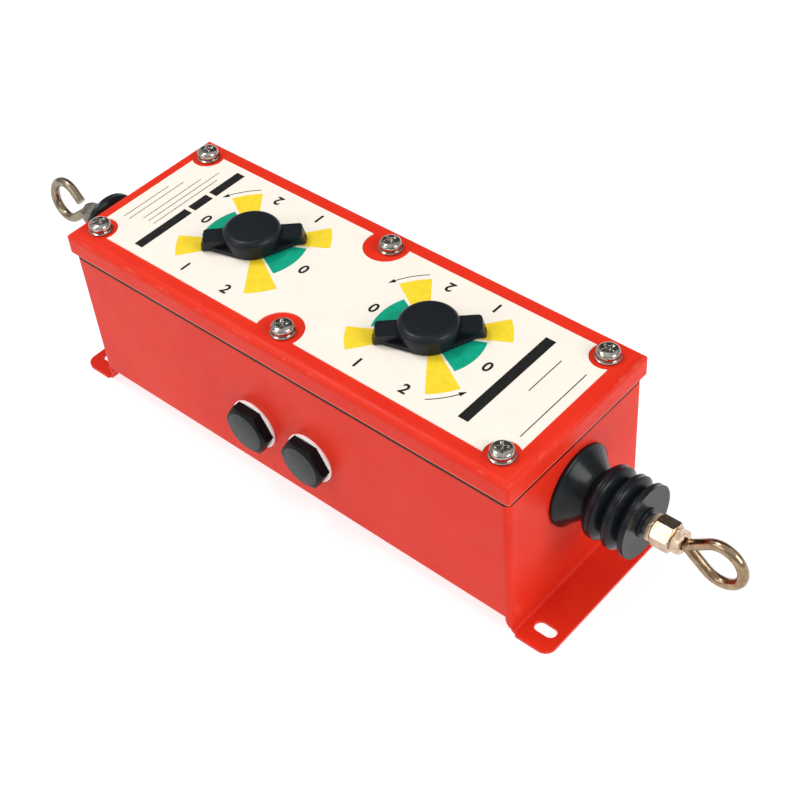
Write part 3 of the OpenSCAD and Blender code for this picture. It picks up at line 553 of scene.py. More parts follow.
# Each finish: its key, name, ground and drift, patches in mm, least and most roughness, bumps as
# (feature, height) in mm, and what is set on the shader or stretches the pattern
FINISHES = (
    # Polyester powder coat on steel: even, half glossy, with a faint orange peel of 1 to 2 mm. On
    # the lid a painted highlight runs along the rim, and the folds are pale, partly worn and partly
    # a painted highlight; on the body a painted shadow runs in a thin line under the lid's rim
    ("paint", "Red powder coat", "paint", "#DA2A19", 28, (0.34, 0.44), ORANGE_PEEL, COAT),
    ("body_paint", "Red powder coat on body", "paint", "#DA2A19", 28, (0.34, 0.44), ORANGE_PEEL,
     COAT),
    # Polyester label film with a matt overlay: a fine tooth and a slight mottle
    ("film", "Matt label film", "film", "#F1E8DB", 9, (0.50, 0.62), [(0.6, 0.002)],
     dict(IOR=1.5)),
    # Screen-printed inks: dense and flat, slightly uneven where the screen left less ink
    ("green", "Screen ink green", "green", "#059676", 3, (0.45, 0.60), [(0.5, 0.002)], INK),
    ("yellow", "Screen ink yellow", "yellow", "#EACB28", 3, (0.45, 0.60), [(0.5, 0.002)], INK),
    ("ink", "Screen ink ink", "ink", "#1F1E1D", 3, (0.45, 0.60), [(0.5, 0.002)], INK),
    # Moulded glass-filled nylon: satin black with a fine spark-eroded texture
    ("knob", "Moulded nylon", "knob", "#14181D", 6, (0.30, 0.40), [(0.45, 0.006)],
     dict(IOR=1.53, Specular_IOR_Level=0.2)),
    # Moulded polyamide plug: greyer on its flat front face
    ("plug", "Moulded polyamide plug", "plug", "#0E0F12", 5, (0.36, 0.48), [(0.4, 0.008)],
     dict(IOR=1.53, Specular_IOR_Level=0.1)),
    ("plug_face", "Rubbed polyamide face", "#2B3134", "#262B2F", 4, (0.4, 0.5), [(0.4, 0.008)],
     dict(IOR=1.53, Specular_IOR_Level=0.3)),
    # Moulded neoprene: black and half glossy, with a slightly paler bloom in soft patches
    ("rubber", "Moulded neoprene", "rubber", "#191E21", 9, (0.18, 0.28), [(0.8, 0.006)],
     dict(IOR=1.5, Specular_IOR_Level=0.2)),
    # Moulded silicone gasket, hidden under the lid: dull and soft
    ("gasket", "Silicone gasket", "#3A3B3C", "#454647", 4, (0.55, 0.7), [(0.6, 0.01)],
     dict(IOR=1.43)),
    # Turned white nylon: a soft sheen
    ("nylon", "White nylon", "#FFFFFF", "#FBF9F4", 4, (0.35, 0.5), [(0.5, 0.004)],
     dict(IOR=1.53)),
    # Clear zinc plate on steel screws: bright, with small darker and duller patches
    ("zinc", "Clear zinc plate", "#CBC7BF", "#8C8881", 2.2, (0.06, 0.16), [(0.5, 0.004)], METAL),
    # Yellow chromated zinc on steel nuts: warm and pale, with browner drifts of the film
    ("chromate", "Yellow zinc plate", "#DDC7B2", "#B59A80", 3.0, (0.14, 0.26), [(0.8, 0.003)],
     METAL),
    # The same plate on drawn wire: browner; a greyer, duller copy of it is a painted shade on the
    # left eye
    ("wire", "Yellow zinc plate on wire", "#B59C80", "#8C7358", 3.5, (0.14, 0.26),
     [(0.9, 0.006)], METAL),
    ("wire_dull", "Weathered zinc plate on wire", "#A4967F", "#7A6E5E", 3.0, (0.18, 0.30),
     [(0.8, 0.006)], METAL),
    # A greyer, duller copy of the plate, a painted shade, on the nuts of the left end
    ("dull", "Weathered zinc plate", "#8D8A7E", "#6B6459", 2.5, (0.24, 0.38), [(0.6, 0.008)],
     METAL),
    # Bare ground steel: fine marks drawn out along X
    ("steel", "Ground steel", "#9A9B9C", "#7E7F81", 3, (0.25, 0.4), [(0.3, 0.003)],
     dict(METAL, stretch=(0.1, 1.0, 1.0))),
    # Turned brass: close tool marks round X
    ("brass", "Turned brass", "#C9A24E", "#AD8538", 3, (0.2, 0.35), [(0.3, 0.004)],
     dict(METAL, stretch=(4.0, 1.0, 1.0))),
    # Patented spring steel, lightly oiled: dark, with a soft shine
    ("spring", "Oiled spring steel", "#5B5C5F", "#47484A", 2, (0.25, 0.4), [(0.3, 0.003)], METAL),
    # Moulded thermoset: dull grey, faintly speckled by its filler
    ("block", "Grey thermoset", "#5C6064", "#53575B", 4, (0.5, 0.65), [(0.4, 0.006)],
     dict(IOR=1.5)),
    # Moulded acetal: smooth and slightly waxy
    ("plunger", "Orange acetal", "#D9702A", "#C96421", 3, (0.3, 0.42), [(0.4, 0.004)],
     dict(IOR=1.48)),
)


def make_finishes():
    """Every material of the switch, by its short name."""
    made = {key: finish(*values, **extra) for key, *values, extra in FINISHES}
    # Painted shadow: a thin dark line on the body's walls just under the lid's rim
    banded(made["body_paint"], "#2A0404", *RIM_SHADOW_BAND)
    # Painted highlight: a pale line along the lid's lower rim
    banded(made["paint"], "#F2775F", *RIM_HIGHLIGHT_BAND)
    # Pale patches along the lid's top folds: partly wear, partly a painted highlight
    wear_and_sheen(made["paint"], "#F29A82")
    return made


trees = {}
finishes = {}


# ---------------------------------------------------------------- dial print

# Shift of both dials from their spindles in metres; the rest in mm and degrees about each dial
DIAL_SHIFT = Vector((-1.1 * MM, 0.8 * MM, 0.0))
DIAL_INNER = 9.0
GREEN_HALF, GREEN_R = 25.0, 23.4
YELLOW_AT, YELLOW_HALF, YELLOW_R = 40.3, 11.8, 32.9
# Each arrow's radius, and the angles where its arc starts and ends
TOP_ARROW, LOW_ARROW = (35.6, 129.5, 152.5), (35.6, -52.0, -31.0)
ARROW_W, HEAD_W, HEAD_DEG = 0.42, 2.2, 5.0
# Bars and rules on the label, by two corners each
BARS = ((-89.5, -30.0, -84.9, -1.0), (-89.5, 1.0, -84.9, 11.5), (-89.5, 13.5, -84.9, 31.0),
        (84.1, -26.7, 88.9, 26.5), (96.4, -0.6, 96.8, 19.5), (108.3, -21.0, 108.7, 19.0),
        (-93.2, -16.0, -92.9, 22.0), (-96.4, -16.0, -96.1, 26.0), (-99.6, -16.0, -99.3, 18.0),
        (-104.4, -20.0, -104.1, 12.0), (-107.6, -20.0, -107.3, 6.0))
# Each number with its radius, angle and turn; their height, and how far their strokes swell
NUMBERS = (("1", 30.0, 69.0, 0.0), ("1", 30.0, -115.0, 180.0), ("0", 28.5, 0.0, 0.0),
           ("0", 28.5, 180.0, 180.0), ("2", 30.0, -68.0, 0.0), ("2", 30.0, 114.0, 180.0))
NUMBER_SIZE, NUMBER_SWELL = 7.2, 0.18
# Ink's height above the film, which keeps the two apart, and its thickness
PRINT_LIFT, PRINT_T = 0.02, 0.05


def around(centre, radius, angle):
    """Point in mm at a radius and an angle about a centre in metres."""
    return (centre.x / MM + radius * math.cos(angle), centre.y / MM + radius * math.sin(angle))


def sector(centre, at_deg, half_deg, inner_r, outer_r, steps=16):
    """Outline of a ring sector in mm."""
    angles = [math.radians(at_deg - half_deg + 2 * half_deg * k / steps) for k in range(steps + 1)]
    return ([around(centre, outer_r, a) for a in angles]
            + [around(centre, inner_r, a) for a in reversed(angles)])


def arrow(centre, shape):
    """Outlines of a thin curved arrow: its arc and its head."""
    radius, start, end = shape
    line = sector(centre, (start + end) / 2, (end - start) / 2, radius - ARROW_W / 2,
                  radius + ARROW_W / 2)
    tip = ((radius - HEAD_W / 2, end), (radius + HEAD_W / 2, end), (radius, end + HEAD_DEG))
    return [line, [around(centre, r, math.radians(a)) for r, a in tip]]


def plate(x0, y0, x1, y1):
    """Outline of an upright rectangle in mm."""
    return [(x0, y0), (x1, y0), (x1, y1), (x0, y1)]


def prism_faces(count, start=0):
    """Faces between two outlines of that many points each, the second above the first."""
    sides = [(k, (k + 1) % count, count + (k + 1) % count, count + k) for k in range(count)]
    faces = [range(count - 1, -1, -1), range(count, 2 * count), *sides]
    return [tuple(start + k for k in face) for face in faces]


def printed(name, outlines, material):
    """Thin closed plates of ink from outlines in mm."""
    points, faces = [], []
    low, high = LABEL_TOP + PRINT_LIFT * MM, LABEL_TOP + (PRINT_LIFT + PRINT_T) * MM
    for outline in outlines:
        faces += prism_faces(len(outline), len(points))
        points += [(x * MM, y * MM, z) for z in (low, high) for x, y in outline]
    return add_object(name, clean(mesh_of(name, points, faces=faces)), material)


def numbers(name, material):
    """The dials' plain numbers as one mesh of ink."""
    whole = bmesh.new()
    ink_z = LABEL_TOP + (PRINT_LIFT + PRINT_T / 2) * MM
    for side in SIDES:
        centre = middle("spindle_" + side)
        for figure, radius, at_deg, turn_deg in NUMBERS:
            text = bpy.data.curves.new("figure", "FONT")
            text.body, text.size = figure, NUMBER_SIZE * MM
            text.align_x, text.align_y = "CENTER", "CENTER"
            text.extrude, text.offset = PRINT_T / 2 * MM, NUMBER_SWELL * MM
            holder = add_object("figure", text)
            mesh = evaluated_mesh(holder)
            x, y = (radius * MM * wave(math.radians(at_deg)) for wave in (math.cos, math.sin))
            mesh.transform(Matrix.Translation((centre.x + x, y, ink_z))
                           @ turn_about("Z", turn_deg))
            whole.from_mesh(mesh)
            bpy.data.objects.remove(holder)
    return add_object(name, clean(mesh_from(whole, name)), material)


# ---------------------------------------------------------------- screws, washers and plugs

# Lid screws, in mm: shank, the head's lower edge, the share of its height where its dome starts,
# the powers that flatten the dome, and the share of its radius where its crown is flat
SHANK_R, SHANK_TIP_R, SHANK_TIP, HEAD_EDGE = 2.5, 1.9, 0.6, 0.15
DOME_FROM, DOME_RISE, DOME_IN, CROWN_R = 0.36, 0.75, 0.5, 0.2
# The cross recess: its arms' width and span, its depth and how far its cutter stands out, and
# the shares of span and width at its foot and its mouth
RECESS_W, RECESS_LEN, RECESS_DEEP, RECESS_OUT = 1.3, 6.0, 2.0, 0.5
RECESS_FOOT, RECESS_MOUTH = (0.45, 0.7), (1.08, 1.0)
HARDWARE_STEPS, HARDWARE_SHARP = 48, 40.0
# Rounding of edges in mm, and the fold angle past which a screw's edge is rounded
SCREW_EDGE, SCREW_EDGE_DEG, PLUG_EDGE = 0.08, 45.0, 0.25
# Bores, and the chamfers of rings' lower and upper edges as (along, in)
WASHER_BORE, WASHER_EDGES = 2.75, ((0.12, 0.1), (0.2, 0.25))
SEAL_BORE, SEAL_EDGES = 10.05, ((0.3, 0.3), (0.35, 0.4))
# Conduit plugs: the head's width to the solid's, its face and slope, the thread and its lead, the
# radii at which tail and face close, and how far the sealing ring stands back
PLUG_SWELL, PLUG_FACE, PLUG_SLOPE = 1.1, 0.88, 0.5
THREAD_R, THREAD_LEAD, TAIL_R, FACE_R = 9.95, 0.6, 2.0, 1.0
SEAL_SHY = 0.5
# A face whose normal's Y is below this is a plug's front
FRONT_FACING = -0.98


def screw_profile(foot, head_r, head_h):
    """Side of a pan-head screw in mm, from the foot of its shank to its crown."""
    edge_h = DOME_FROM * head_h
    dome = [(edge_h + (head_h - edge_h) * math.sin(math.radians(a)) ** DOME_RISE,
             head_r * math.cos(math.radians(a)) ** DOME_IN) for a in range(0, 90, 6)]
    return [(foot, 0), (foot, SHANK_TIP_R), (foot + SHANK_TIP, SHANK_R), (0, SHANK_R),
            (0, head_r - HEAD_EDGE), (HEAD_EDGE, head_r), *dome,
            (head_h, head_r * CROWN_R), (head_h, 0)]


def ring_profile(thick, outer_r, bore_r, edges):
    """Section of a flat ring in mm."""
    (foot, foot_in), (lip, lip_in) = edges
    return [(0, bore_r), (0, outer_r - foot_in), (foot, outer_r), (thick - lip, outer_r),
            (thick, outer_r - lip_in), (thick, bore_r)]


def upright(name, profile):
    """Spins a piece of screw hardware about the Z axis."""
    return turned(spun(name, profile, finishes["zinc"], HARDWARE_SHARP, HARDWARE_STEPS), UPRIGHT)


def cross_cutter(top):
    """Tapered cross that cuts a screw's recess."""
    made = bmesh.new()
    levels = ((RECESS_FOOT, top - RECESS_DEEP * MM), (RECESS_MOUTH, top + RECESS_OUT * MM))
    for turn in (0, 90):
        verts = [made.verts.new((x * RECESS_LEN / 2 * MM * span, y * RECESS_W / 2 * MM * wide, z))
                 for (span, wide), z in levels for x, y in plate(-1, -1, 1, 1)]
        for face in prism_faces(4):
            made.faces.new([verts[k] for k in face])
        bmesh.ops.rotate(made, verts=verts, cent=(0, 0, 0),
                         matrix=Matrix.Rotation(math.radians(turn), 3, "Z"))
    return add_object("cross", mesh_from(made, "cross"))


def set_out(name, pattern, places, height, node):
    """Sets a pattern out on the lid's screw places, each with its own turn, for its nodes."""
    points = mesh_of(name + "_places", [(p.x, p.y, height) for p in places])
    piece = grow(name, points, trees["scatter"], finishes["zinc"], HARDWARE_SHARP, Part=pattern,
                 Turn_Seed=sizes().turn_seed)
    bpy.data.objects.remove(pattern)
    settle(piece, "housing", [f"{node}_{k + 1}" for k in range(SCREW_COUNT)])


def plug_rings(flats, reach, tail):
    """Rings of a conduit plug in mm, from its tail in the wall to its face."""
    head = hex_rings(flats, reach, PLUG_FACE * flats / 2, PLUG_SLOPE, steps=10, back=0.0)
    thread = ((-tail, TAIL_R), (-tail, THREAD_R - THREAD_LEAD), (THREAD_LEAD - tail, THREAD_R),
              (0.0, THREAD_R))
    angles = [a for _, _, a in head[0]]
    return [*(flat_ring(x, r, angles) for x, r in thread), *head[1:],
            flat_ring(reach, FACE_R, angles)]


# ---------------------------------------------------------------- boots

# In mm along the rod from the end wall: foot and lip, cone, crests, nose and bore
FOOT_R, LIP_T, LIP_ROUND = 17.8, 1.5, 0.3
CONE_X, CONE_R, NECK_X, NECK_RUN = 1.85, 17.1, 9.38, 0.5
FIRST_CREST, CREST_FLAT, CREST_GROOVE = 15.41, 2.2, 0.2
NOSE_R, NOSE_X, NOSE_FLAT, NOSE_ROUND, NOSE_CORNER = 6.2, 32.2, 1.0, 0.5, 0.15
BORE_R, BORE_LEN, LINING_GAP = 4.3, 4.0, 0.2
# Powers that bend the cone, the rise to the first crest, the valleys' sides and the nose
CONE_BEND, RISE_BEND, VALLEY_BEND, NOSE_BEND = 1.3, 0.9, 1.15, 0.8
CONE_STEPS, RISE_STEPS, CREST_STEPS, BOOT_SHARP = 14, 12, 96, 60.0


def falling(start, end, power):
    """Points after the start of a curve that falls to a smaller radius and flattens out."""
    (x, r), (end_x, end_r) = start, end
    shares = [k / CONE_STEPS for k in range(1, CONE_STEPS + 1)]
    return [(x + t * (end_x - x), end_r + (r - end_r) * (1 - t) ** power) for t in shares]


def boot_profile(s):
    """Outer skin of a boot as (along, radius) points in mm, from the wall to the nose."""
    crest, valley, neck, pitch = (v / MM for v in (s.crest_r, s.valley_r, s.neck_r, s.crest_pitch))
    skin = [(0.0, FOOT_R - LIP_ROUND), (LIP_ROUND, FOOT_R), (LIP_T - LIP_ROUND, FOOT_R),
            (LIP_T, FOOT_R - LIP_ROUND / 2), (CONE_X, CONE_R)]
    skin += falling((CONE_X, CONE_R), (NECK_X, neck), CONE_BEND)
    half_flat = CREST_FLAT / 2
    first = FIRST_CREST - half_flat
    last = FIRST_CREST + (s.crests - 1) * pitch + half_flat
    start = NECK_X + NECK_RUN
    skin += [(start + t * (first - start),
              neck + (crest - neck) * math.sin(t * math.pi / 2) ** RISE_BEND)
             for t in (k / RISE_STEPS for k in range(1, RISE_STEPS))]
    for k in range(CREST_STEPS + 1):
        x = first + (last - first) * k / CREST_STEPS
        u = (x - FIRST_CREST) / pitch
        off = abs(u - round(u)) * pitch
        if off < half_flat:
            # A fine groove runs between two beads on each crest
            r = crest - CREST_GROOVE * (1 + math.cos(math.pi * off / half_flat)) / 2
        else:
            t = min((off - half_flat) / (pitch / 2 - half_flat), 1.0)
            r = crest - (crest - valley) * t ** VALLEY_BEND
        skin.append((x, r))
    skin += falling((last, crest), (NOSE_X - NOSE_FLAT, NOSE_R), NOSE_BEND)
    return skin + [(NOSE_X - NOSE_ROUND, NOSE_R), (NOSE_X - NOSE_CORNER, NOSE_R - NOSE_CORNER),
                   (NOSE_X, NOSE_R - NOSE_ROUND)]


def boot_lining(skin, wall):
    """Inner skin of a boot, from the nose back to the wall."""
    inner = [(x, r - wall) for x, r in reversed(skin[4:-3])
             if x < NOSE_X - BORE_LEN - LINING_GAP and r - wall > BORE_R + LINING_GAP]
    return [(NOSE_X, BORE_R), (NOSE_X - BORE_LEN, BORE_R), *inner, (0.0, FOOT_R - 2 * wall)]


# ---------------------------------------------------------------- rod ends

# Each nut's node, width across the flats in mm, turn about the rod and bore radius in mm
ROD_NUTS = (("collar_nut", 11.2, 7.0, 3.05), ("coupling_sleeve", 11.2, 43.0, 3.05),
            ("lock_nut", 8.8, 22.0, 2.55))
# Their chamfer: how far it starts inside the flats in mm, its slope, and their edges' rounding
NUT_FACE_IN, NUT_SLOPE, NUT_EDGE = 0.1, 0.6, 0.12
# Rope eyes, in metres: neck from the lock nut, bend into the loop, end of the swollen shank, and
# the closed eye's end from the neck; the shares of the bend where the shank stops and it starts
EYE_NECK, EYE_BEND, SHANK_END, CLOSED_END = 0.6 * MM, 1.6 * MM, 2.0 * MM, 0.8 * MM
SHANK_STOP, BEND_START = 0.6, 0.5
LEFT_EYE_TURN = 8.5
SHANK_SWELL, NECK_SWELL = 2.5 / 2.2, 1.05
LEG_STEPS, SHANK_STEPS, LOOP_STEPS = 10, 8, 64


def eye_path(s, shank, is_open):
    """Path of an eye's wire in the XZ plane from its shank round the loop, with its swell."""
    lean = math.asin(s.eye_r / s.eye_reach)
    leg = math.sqrt(s.eye_reach ** 2 - s.eye_r ** 2)
    along = [-shank * (1 - k / SHANK_STEPS) for k in range(SHANK_STEPS)]
    path = [(x, 0.0) for x in along if x < -EYE_BEND * SHANK_STOP]
    swell = [SHANK_SWELL if x < -SHANK_END else NECK_SWELL for x, _ in path]
    before = Vector((-EYE_BEND * BEND_START, 0.0))
    after = Vector((EYE_BEND * math.cos(lean), -EYE_BEND * math.sin(lean)))
    for k in range(1, SHANK_STEPS):
        t = k / SHANK_STEPS
        path.append(tuple(before * (1 - t) ** 2 + after * t ** 2))
    out = [EYE_BEND + (leg - EYE_BEND) * k / LEG_STEPS for k in range(LEG_STEPS)]
    path += [(d * math.cos(lean), -d * math.sin(lean)) for d in out]
    turn = math.pi + 2 * lean
    path += [(s.eye_reach + s.eye_r * math.cos(a), s.eye_r * math.sin(a))
             for a in (-math.pi / 2 - lean + turn * k / LOOP_STEPS for k in range(LOOP_STEPS + 1))]
    last = leg - s.open_end if is_open else CLOSED_END
    back = [leg + (last - leg) * k / LEG_STEPS for k in range(1, LEG_STEPS + 1)]
    path += [(d * math.cos(lean), d * math.sin(lean)) for d in back]
    swell += [1.0] * (len(path) - len(swell))
    return [(x, 0.0, z) for x, z in path], swell


# ---------------------------------------------------------------- knobs

# In mm above a knob's underside and about its axis: hub, cap and the wings' two outlines by
# their half sides, and the lens-shaped base with its shares of length and width at its top
KNOB_ANGLE = 42.0
CAP_R, CAP_ROUND, CAP_DOME, HUB_R = 12.3, 2.8, 0.94, 11.5
WING_TOP, WING_FOOT, WING_H, WING_CORNER = (20.7, 4.6), (22.1, 3.6), 5.1, 1.5
LENS_SPAN, LENS_H, TIP_R, LENS_TOP = 44.6, 1.6, 2.6, (0.985, 0.97)
# The hub and the wings start this far above the underside, so that no two faces fall together;
# the hub's draft to each side, and the crown's points as (down, in)
FOOT_GAP, HUB_DRAFT, CAP_CROWN = 0.05, 0.1, ((0.05, 6.0), (0.0, 9.0))
CAP_STEPS, TIP_STEPS, HUB_STEPS, KNOB_STEPS, KNOB_SHARP = 10, 10, 12, 72, 35.0
KNOB_EDGE_DEG = 30.0


def prism(name, foot, top, low, high):
    """Solid between an outline in mm at one height and another of as many points above it."""
    points = [(x * MM, y * MM, low) for x, y in foot] + [(x * MM, y * MM, high) for x, y in top]
    return add_object(name, mesh_of(name, points, faces=prism_faces(len(foot))))


def rounded(half_x, half_y, radius, steps=5):
    """Outline of a rectangle about the origin with round corners."""
    outline = []
    for quarter, (way_x, way_y) in enumerate(((1, 1), (-1, 1), (-1, -1), (1, -1))):
        for k in range(steps + 1):
            a = math.radians(90 * (quarter + k / steps))
            outline.append((way_x * (half_x - radius) + radius * math.cos(a),
                            way_y * (half_y - radius) + radius * math.sin(a)))
    return outline


def lens_outline():
    """Plan of a knob's base: round the hub, with straight sides to two round tips."""
    tip_x = LENS_SPAN / 2 - TIP_R
    meet = math.acos((HUB_R - TIP_R) / tip_x)
    outline = []
    for turn in (0.0, math.pi):
        for k in range(TIP_STEPS + 1):
            a = turn - meet + 2 * meet * k / TIP_STEPS
            outline.append((math.cos(turn) * tip_x + TIP_R * math.cos(a), TIP_R * math.sin(a)))
        for k in range(HUB_STEPS + 1):
            a = turn + meet + (math.pi - 2 * meet) * k / HUB_STEPS
            outline.append((HUB_R * math.cos(a), HUB_R * math.sin(a)))
    return outline


def knob_solid(name):
    """A knob's moulding about the Z axis: lens-shaped base, round cap and two wings."""
    plan = lens_outline()
    base = prism(name, plan, [(LENS_TOP[0] * x, LENS_TOP[1] * y) for x, y in plan], KNOB_Z,
                 KNOB_Z + LENS_H * MM)
    rise = (KNOB_TOP - KNOB_Z) / MM
    shoulder = rise - CAP_ROUND
    hub = [(FOOT_GAP, 0), (FOOT_GAP, HUB_R - HUB_DRAFT), (LENS_H, HUB_R + HUB_DRAFT),
           (shoulder, CAP_R)]
    for k in range(1, CAP_STEPS + 1):
        a = math.radians(90 / CAP_STEPS * k)
        hub.append((shoulder + CAP_ROUND * CAP_DOME * math.sin(a),
                    CAP_R - CAP_ROUND + CAP_ROUND * math.cos(a)))
    hub += [(rise - down, CAP_R - inward) for down, inward in CAP_CROWN] + [(rise, 0)]
    cap = turned(spun("cap", hub, finishes["knob"], KNOB_SHARP, KNOB_STEPS),
                 Matrix.Translation((0, 0, KNOB_Z)) @ UPRIGHT)
    wings = prism("wings", rounded(*WING_FOOT, WING_CORNER), rounded(*WING_TOP, WING_CORNER),
                  KNOB_Z + FOOT_GAP * MM, KNOB_Z + WING_H * MM)
    return carve(base, [cap, wings], "UNION")


# ---------------------------------------------------------------- springs

SPRING_WIRE_R = 0.8 * MM
SPRING_TURNS, TURN_STEPS = 9, 24


def coil(near, far, radius):
    """Path of a compression spring with a closed turn at each end."""
    path = []
    edge = SPRING_WIRE_R * 2 / abs(far - near)
    for k in range(SPRING_TURNS * TURN_STEPS + 1):
        turn_no = k / TURN_STEPS
        if turn_no < 1:
            rise = edge * turn_no
        elif turn_no > SPRING_TURNS - 1:
            rise = 1 - edge * (SPRING_TURNS - turn_no)
        else:
            rise = edge + (1 - 2 * edge) * (turn_no - 1) / (SPRING_TURNS - 2)
        rise = edge / 2 + rise * (1 - edge)
        a = math.tau * turn_no
        path.append((near + (far - near) * rise, radius * math.cos(a),
                     ROD_Z + radius * math.sin(a)))
    return path


# ---------------------------------------------------------------- stage

# The floor's half side in metres and its own glow
FLOOR_HALF, FLOOR_GLOW = 12.0, 0.78
# Strength of the sky at the horizon and overhead, and of the sweep at the horizon with the height
# where it ends; the dark screen's direction, where it fades in, and what it lets through
HORIZON_LIGHT, ZENITH_LIGHT = 0.2, 0.8
SWEEP_LIGHT, SWEEP_HIGH = 0.92, 0.2
SCREEN_WAY = (-0.45, 0.75, 0.48)
SCREEN_EDGE, SCREEN_LIGHT = (0.80, 0.93), 0.18
# Lamps: name, place, aim, width and depth in metres, and power
LIGHTS = (("overhead", (-0.68, -0.16, 1.41), (0.14, 0, 0.05), (0.5, 0.25), 7.5),
          ("front", (-0.7, -1.5, 1.1), (0, 0, 0.03), (1.2, 0.9), 8.0),
          ("right", (1.6, 0.2, 1.1), (0, 0, 0.03), (0.9, 0.9), 17.0))
# Camera: place, direction, up and focal length in mm
CAMERA_AT = (0.34426, -0.31517, 0.48074)
CAMERA_AHEAD = (-0.50442, 0.50371, -0.70131)
CAMERA_UP = (-0.42461, 0.56251, 0.70943)
CAMERA_LENS = 68.19


# ---------------------------------------------------------------- operators


class SwitchOperator(bpy.types.Operator):
    """Base of the switch's operators."""
    bl_idname = "switch.base"
    bl_label = "Switch piece"
    bl_options = {"REGISTER", "UNDO"}


class MakeHousing(SwitchOperator):
    """Welds and paints the folded body and the lid."""
    bl_idname = "switch.housing"
    bl_label = "Body and lid"

    def execute(self, context):
        welded("enclosure_body", "painted_body", finishes["body_paint"], "housing")
        welded("lid", "painted_lid", finishes["paint"], "housing")
        paint_node("lid_gasket", finishes["gasket"])
        return {"FINISHED"}


class MakeLabel(SwitchOperator):
    """Finishes the label film and lays the dial's print on it."""
    bl_idname = "switch.label"
    bl_label = "Dial label"

    def execute(self, context):
        paint_node("dial_label", finishes["film"])
        prints = {"green": [], "yellow": [], "ink": []}
        for side in SIDES:
            centre = middle("spindle_" + side) + DIAL_SHIFT
            for way in (0, 180):
                prints["green"].append(sector(centre, way, GREEN_HALF, DIAL_INNER, GREEN_R))
                for lean in (-YELLOW_AT, YELLOW_AT):
                    prints["yellow"].append(sector(centre, way + lean, YELLOW_HALF, DIAL_INNER,
                                                   YELLOW_R))
            prints["ink"] += arrow(centre, TOP_ARROW)
        prints["ink"] += arrow(middle("spindle_right") + DIAL_SHIFT, LOW_ARROW)
        prints["ink"] += [plate(*bar) for bar in BARS]
        for key, outlines in prints.items():
            piece = printed("print_" + key, outlines, finishes[key])
            settle(piece, "housing", [])
        settle(numbers("print_numbers", finishes["ink"]), "housing", [])
        return {"FINISHED"}


class MakeScrews(SwitchOperator):
    """Sets six cross-recessed pan heads on their washers round the lid."""
    bl_idname = "switch.screws"
    bl_label = "Lid screws"

    def execute(self, context):
        places = [middle(f"lid_screw_{k + 1}") for k in range(SCREW_COUNT)]
        foot, seat = (corner.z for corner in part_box("lid_washer_1"))
        tip, crown = (corner.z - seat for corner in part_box("lid_screw_1"))
        profile = screw_profile(tip / MM, size("lid_screw_1").x / 2 / MM, crown / MM)
        screw = carve(upright("screw_pattern", profile), [cross_cutter(crown)], "DIFFERENCE")
        soften(screw, SCREW_EDGE * MM, 2, SCREW_EDGE_DEG)
        set_out("lid_screws", screw, places, seat, "lid_screw")
        profile = ring_profile((seat - foot) / MM, size("lid_washer_1").x / 2 / MM, WASHER_BORE,
                               WASHER_EDGES)
        set_out("lid_washers", upright("washer_pattern", profile), places, foot, "lid_washer")
        return {"FINISHED"}


class MakePlugs(SwitchOperator):
    """Turns the two hexagonal conduit plugs and their sealing washers."""
    bl_idname = "switch.plugs"
    bl_label = "Conduit plugs"

    def execute(self, context):
        for side in SIDES:
            node, seal = "conduit_plug_" + side, "plug_seal_" + side
            low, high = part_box(node)
            centre_x = middle(node).x
            flats = PLUG_SWELL * size(node).x * math.cos(math.radians(30))
            rings = plug_rings(flats / MM, (SEAL_FRONT - low.y) / MM, (high.y - SEAL_FRONT) / MM)
            mesh = ringed("plug_head_" + side, rings,
                          Matrix.Translation((centre_x, SEAL_FRONT, PLUG_Z)) @ FORWARD)
            piece = add_object("plug_head_" + side, mesh, finishes["plug"], finishes["plug_face"])
            soften(piece, PLUG_EDGE * MM, 2)
            for face in piece.data.polygons:
                face.material_index = 1 if face.normal.y < FRONT_FACING else 0
            settle(piece, "housing", [node])
            thick, seal_r = size(seal).y / MM, size(seal).x / 2 / MM - SEAL_SHY
            ring = spun("sealing_ring_" + side,
                        ring_profile(thick, seal_r, SEAL_BORE, SEAL_EDGES), finishes["nylon"])
            turned(ring, Matrix.Translation((centre_x, FRONT_WALL, PLUG_Z)) @ FORWARD)
            settle(ring, "housing", [seal])
        return {"FINISHED"}


class MakeBoots(SwitchOperator):
    """Spins the bellows boots and sets one on each end wall round its rod."""
    bl_idname = "switch.boots"
    bl_label = "Bellows boots"

    def execute(self, context):
        outer = boot_profile(sizes())
        lining = boot_lining(outer, sizes().boot_wall / MM)
        skin = spun("boot", outer + lining, finishes["rubber"], BOOT_SHARP)
        base = skin.data
        bpy.data.objects.remove(skin)
        for side, way in SIDES.items():
            piece = add_object("bellows_" + side, base.copy())
            turned(piece, END_TURN[side] @ Matrix.Translation((WALL_X, 0.0, ROD_Z)))
            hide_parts("boot_" + side)
            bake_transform(piece)
        return {"FINISHED"}


class MakeRodEnds(SwitchOperator):
    """Turns the chamfered collar nuts, coupling sleeves and lock nuts."""
    bl_idname = "switch.rod_ends"
    bl_label = "Rod-end hardware"

    def execute(self, context):
        for node, flats, turn_deg, bore_r in ROD_NUTS:
            low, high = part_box(node + "_right")
            rings = hex_rings(flats, (high.x - low.x) / MM, flats / 2 - NUT_FACE_IN, NUT_SLOPE,
                              bore_r)
            place = Matrix.Translation((low.x, 0.0, ROD_Z)) @ turn_about("X", turn_deg)
            base = ringed(node, rings, place, closed=True)
            for side in SIDES:
                # The left end's nuts get a darker, duller copy of the plate: a painted shade
                piece = add_object(node + "_turned_" + side, base.copy(),
                                   finishes["chromate" if side == "right" else "dull"])
                soften(piece, NUT_EDGE * MM, 2)
                turned(piece, END_TURN[side])
                settle(piece, "pull_" + side, [f"{node}_{side}"])
        return {"FINISHED"}


